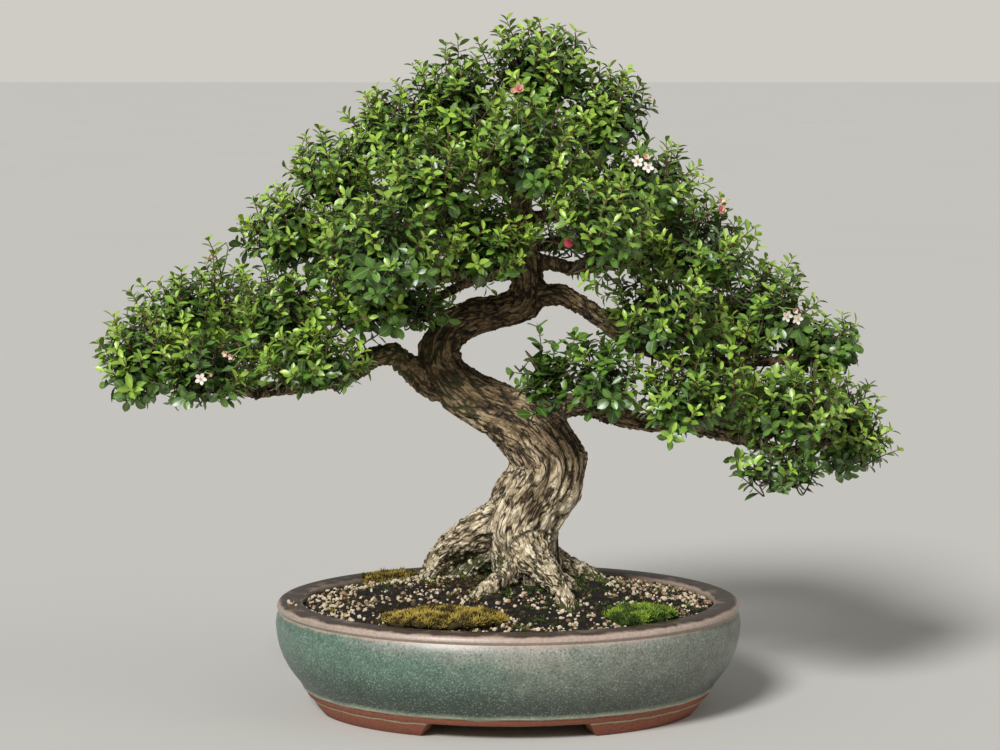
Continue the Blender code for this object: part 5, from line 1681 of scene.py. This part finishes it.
def make_stage(looks):
    """A plain pale floor, soft light and the camera."""
    scene = bpy.context.scene
    bm = bmesh.new()
    bmesh.ops.create_grid(bm, x_segments=1, y_segments=1, size=FLOOR_REACH)
    floor = bpy.data.objects.new("floor", as_shape("floor", bm))
    scene.collection.objects.link(floor)
    made, tree, shader, place = finish_named("pale_matt_floor")
    haze = add(tree, "ShaderNodeTexNoise", {"Vector": place, "Scale": 1.5, "Detail": 2.0})["Fac"]
    faint = add(tree, "ShaderNodeMapRange", {"Value": haze, "To Min": 0.97, "To Max": 1.03})[0]
    pale = add(tree, "ShaderNodeHueSaturation", {"Color": looks.floor, "Value": faint})["Color"]
    feed(tree, shader, {"Base Color": pale, "Roughness": 0.9})
    floor.data.materials.append(made)

    for name, towards, power, soft in (
        ("key", (-0.85, -1.65, 1.5), looks.key_power, 16.0),
        ("fill", (1.5, -0.7, 1.1), looks.fill_power, 40.0),
    ):
        lamp = bpy.data.lights.new(name, "SUN")
        lamp.energy = power
        lamp.angle = math.radians(soft)
        light = bpy.data.objects.new(name, lamp)
        light.rotation_euler = Vector(towards).to_track_quat("Z", "Y").to_euler()
        scene.collection.objects.link(light)
    world = bpy.data.worlds.new("even_light")
    world.use_nodes = True
    around = world.node_tree
    straight = add(around, "ShaderNodeLightPath")["Is Camera Ray"]
    even = add(around, "ShaderNodeMix", {ONE: looks.floor, OTHER: looks.floor}, **BLEND)[RESULT]
    lit = add(around, "ShaderNodeVectorMath", {0: even, "Scale": looks.sky}, operation="SCALE")[0]
    seen = add(around, "ShaderNodeMix", {SHARE: straight, ONE: lit, OTHER: looks.backdrop}, **BLEND)
    feed(around, around.nodes["Background"], {"Color": seen[RESULT]})
    scene.world = world
    scene.view_settings.view_transform = "Standard"

    lens = bpy.data.cameras.new("camera")
    lens.lens = CAMERA_LENS_MM
    lens.sensor_width = CAMERA_SENSOR_MM
    lens.clip_end = FLOOR_REACH * 2
    camera = bpy.data.objects.new("camera", lens)
    camera.location = CAMERA_PLACE
    camera.rotation_euler = (math.radians(CAMERA_PITCH_DEG), 0, 0)
    scene.collection.objects.link(camera)
    scene.camera = camera


class BONSAI_OT_pot(bpy.types.Operator):
    """Makes the glazed pot with its feet"""

    bl_idname = "bonsai.pot"
    bl_label = "Make the pot"

    def execute(self, context):
        make_pot(context.scene.bonsai_pot)
        return {"FINISHED"}


class BONSAI_OT_drains(bpy.types.Operator):
    """Finishes the plastic mesh over the drain holes"""

    bl_idname = "bonsai.drains"
    bl_label = "Finish the drain mesh"

    def execute(self, context):
        finish_drain_mesh(context.scene.bonsai_ground)
        return {"FINISHED"}


class BONSAI_OT_soil(bpy.types.Operator):
    """Makes the soil and the grit on it"""

    bl_idname = "bonsai.soil"
    bl_label = "Make soil and grit"

    def execute(self, context):
        make_soil(context.scene.bonsai_ground)
        make_grit(context.scene.bonsai_ground)
        return {"FINISHED"}


class BONSAI_OT_moss(bpy.types.Operator):
    """Makes the moss cushions and the moss on the soil"""

    bl_idname = "bonsai.moss"
    bl_label = "Make moss"

    def execute(self, context):
        make_moss(context.scene.bonsai_ground)
        return {"FINISHED"}


class BONSAI_OT_wood(bpy.types.Operator):
    """Makes roots, trunk and limbs with their bark"""

    bl_idname = "bonsai.wood"
    bl_label = "Make the wood"

    def execute(self, context):
        fine_wood(context.scene.bonsai_wood)
        return {"FINISHED"}


class BONSAI_OT_foliage(bpy.types.Operator):
    """Makes every spray of the crown"""

    bl_idname = "bonsai.foliage"
    bl_label = "Make the foliage"

    def execute(self, context):
        make_foliage(context.scene.bonsai_foliage)
        return {"FINISHED"}


class BONSAI_OT_blooms(bpy.types.Operator):
    """Makes the blooms, the buds and the berry"""

    bl_idname = "bonsai.blooms"
    bl_label = "Make blooms and berry"

    def execute(self, context):
        make_blooms(context.scene.bonsai_bloom)
        make_berry(context.scene.bonsai_bloom)
        return {"FINISHED"}


class BONSAI_OT_stage(bpy.types.Operator):
    """Makes the floor, the light and the camera"""

    bl_idname = "bonsai.stage"
    bl_label = "Make the stage"

    def execute(self, context):
        make_stage(context.scene.bonsai_stage)
        return {"FINISHED"}


OPERATORS = (
    BONSAI_OT_pot,
    BONSAI_OT_drains,
    BONSAI_OT_soil,
    BONSAI_OT_moss,
    BONSAI_OT_wood,
    BONSAI_OT_foliage,
    BONSAI_OT_blooms,
    BONSAI_OT_stage,
)
LOOKS = {
    "bonsai_pot": BonsaiPotLooks,
    "bonsai_wood": BonsaiWoodLooks,
    "bonsai_foliage": BonsaiFoliageLooks,
    "bonsai_bloom": BonsaiBloomLooks,
    "bonsai_ground": BonsaiGroundLooks,
    "bonsai_stage": BonsaiStageLooks,
}


class BONSAI_PT_panel(bpy.types.Panel):
    """Lists what the bonsai is made of, with its sizes and colours"""

    bl_idname = "BONSAI_PT_panel"
    bl_label = "Potted bonsai"
    bl_space_type = "VIEW_3D"
    bl_region_type = "UI"
    bl_category = "Bonsai"

    def draw(self, context):
        for operator in OPERATORS:
            self.layout.operator(operator.bl_idname)
        for name, looks in LOOKS.items():
            box = self.layout.box()
            for field in looks.__annotations__:
                box.prop(getattr(context.scene, name), field)


def register():
    for looks in LOOKS.values():
        bpy.utils.register_class(looks)
    for name, looks in LOOKS.items():
        setattr(bpy.types.Scene, name, PointerProperty(type=looks))
    for operator in OPERATORS:
        bpy.utils.register_class(operator)
    bpy.utils.register_class(BONSAI_PT_panel)


def unregister():
    bpy.utils.unregister_class(BONSAI_PT_panel)
    for operator in reversed(OPERATORS):
        bpy.utils.unregister_class(operator)
    for name in LOOKS:
        delattr(bpy.types.Scene, name)
    for looks in LOOKS.values():
        bpy.utils.unregister_class(looks)


def main():
    register()
    bpy.ops.bonsai.pot()
    bpy.ops.bonsai.drains()
    bpy.ops.bonsai.soil()
    bpy.ops.bonsai.moss()
    bpy.ops.bonsai.wood()
    bpy.ops.bonsai.foliage()
    bpy.ops.bonsai.blooms()
    bpy.ops.bonsai.stage()


if __name__ == "__main__":
    main()
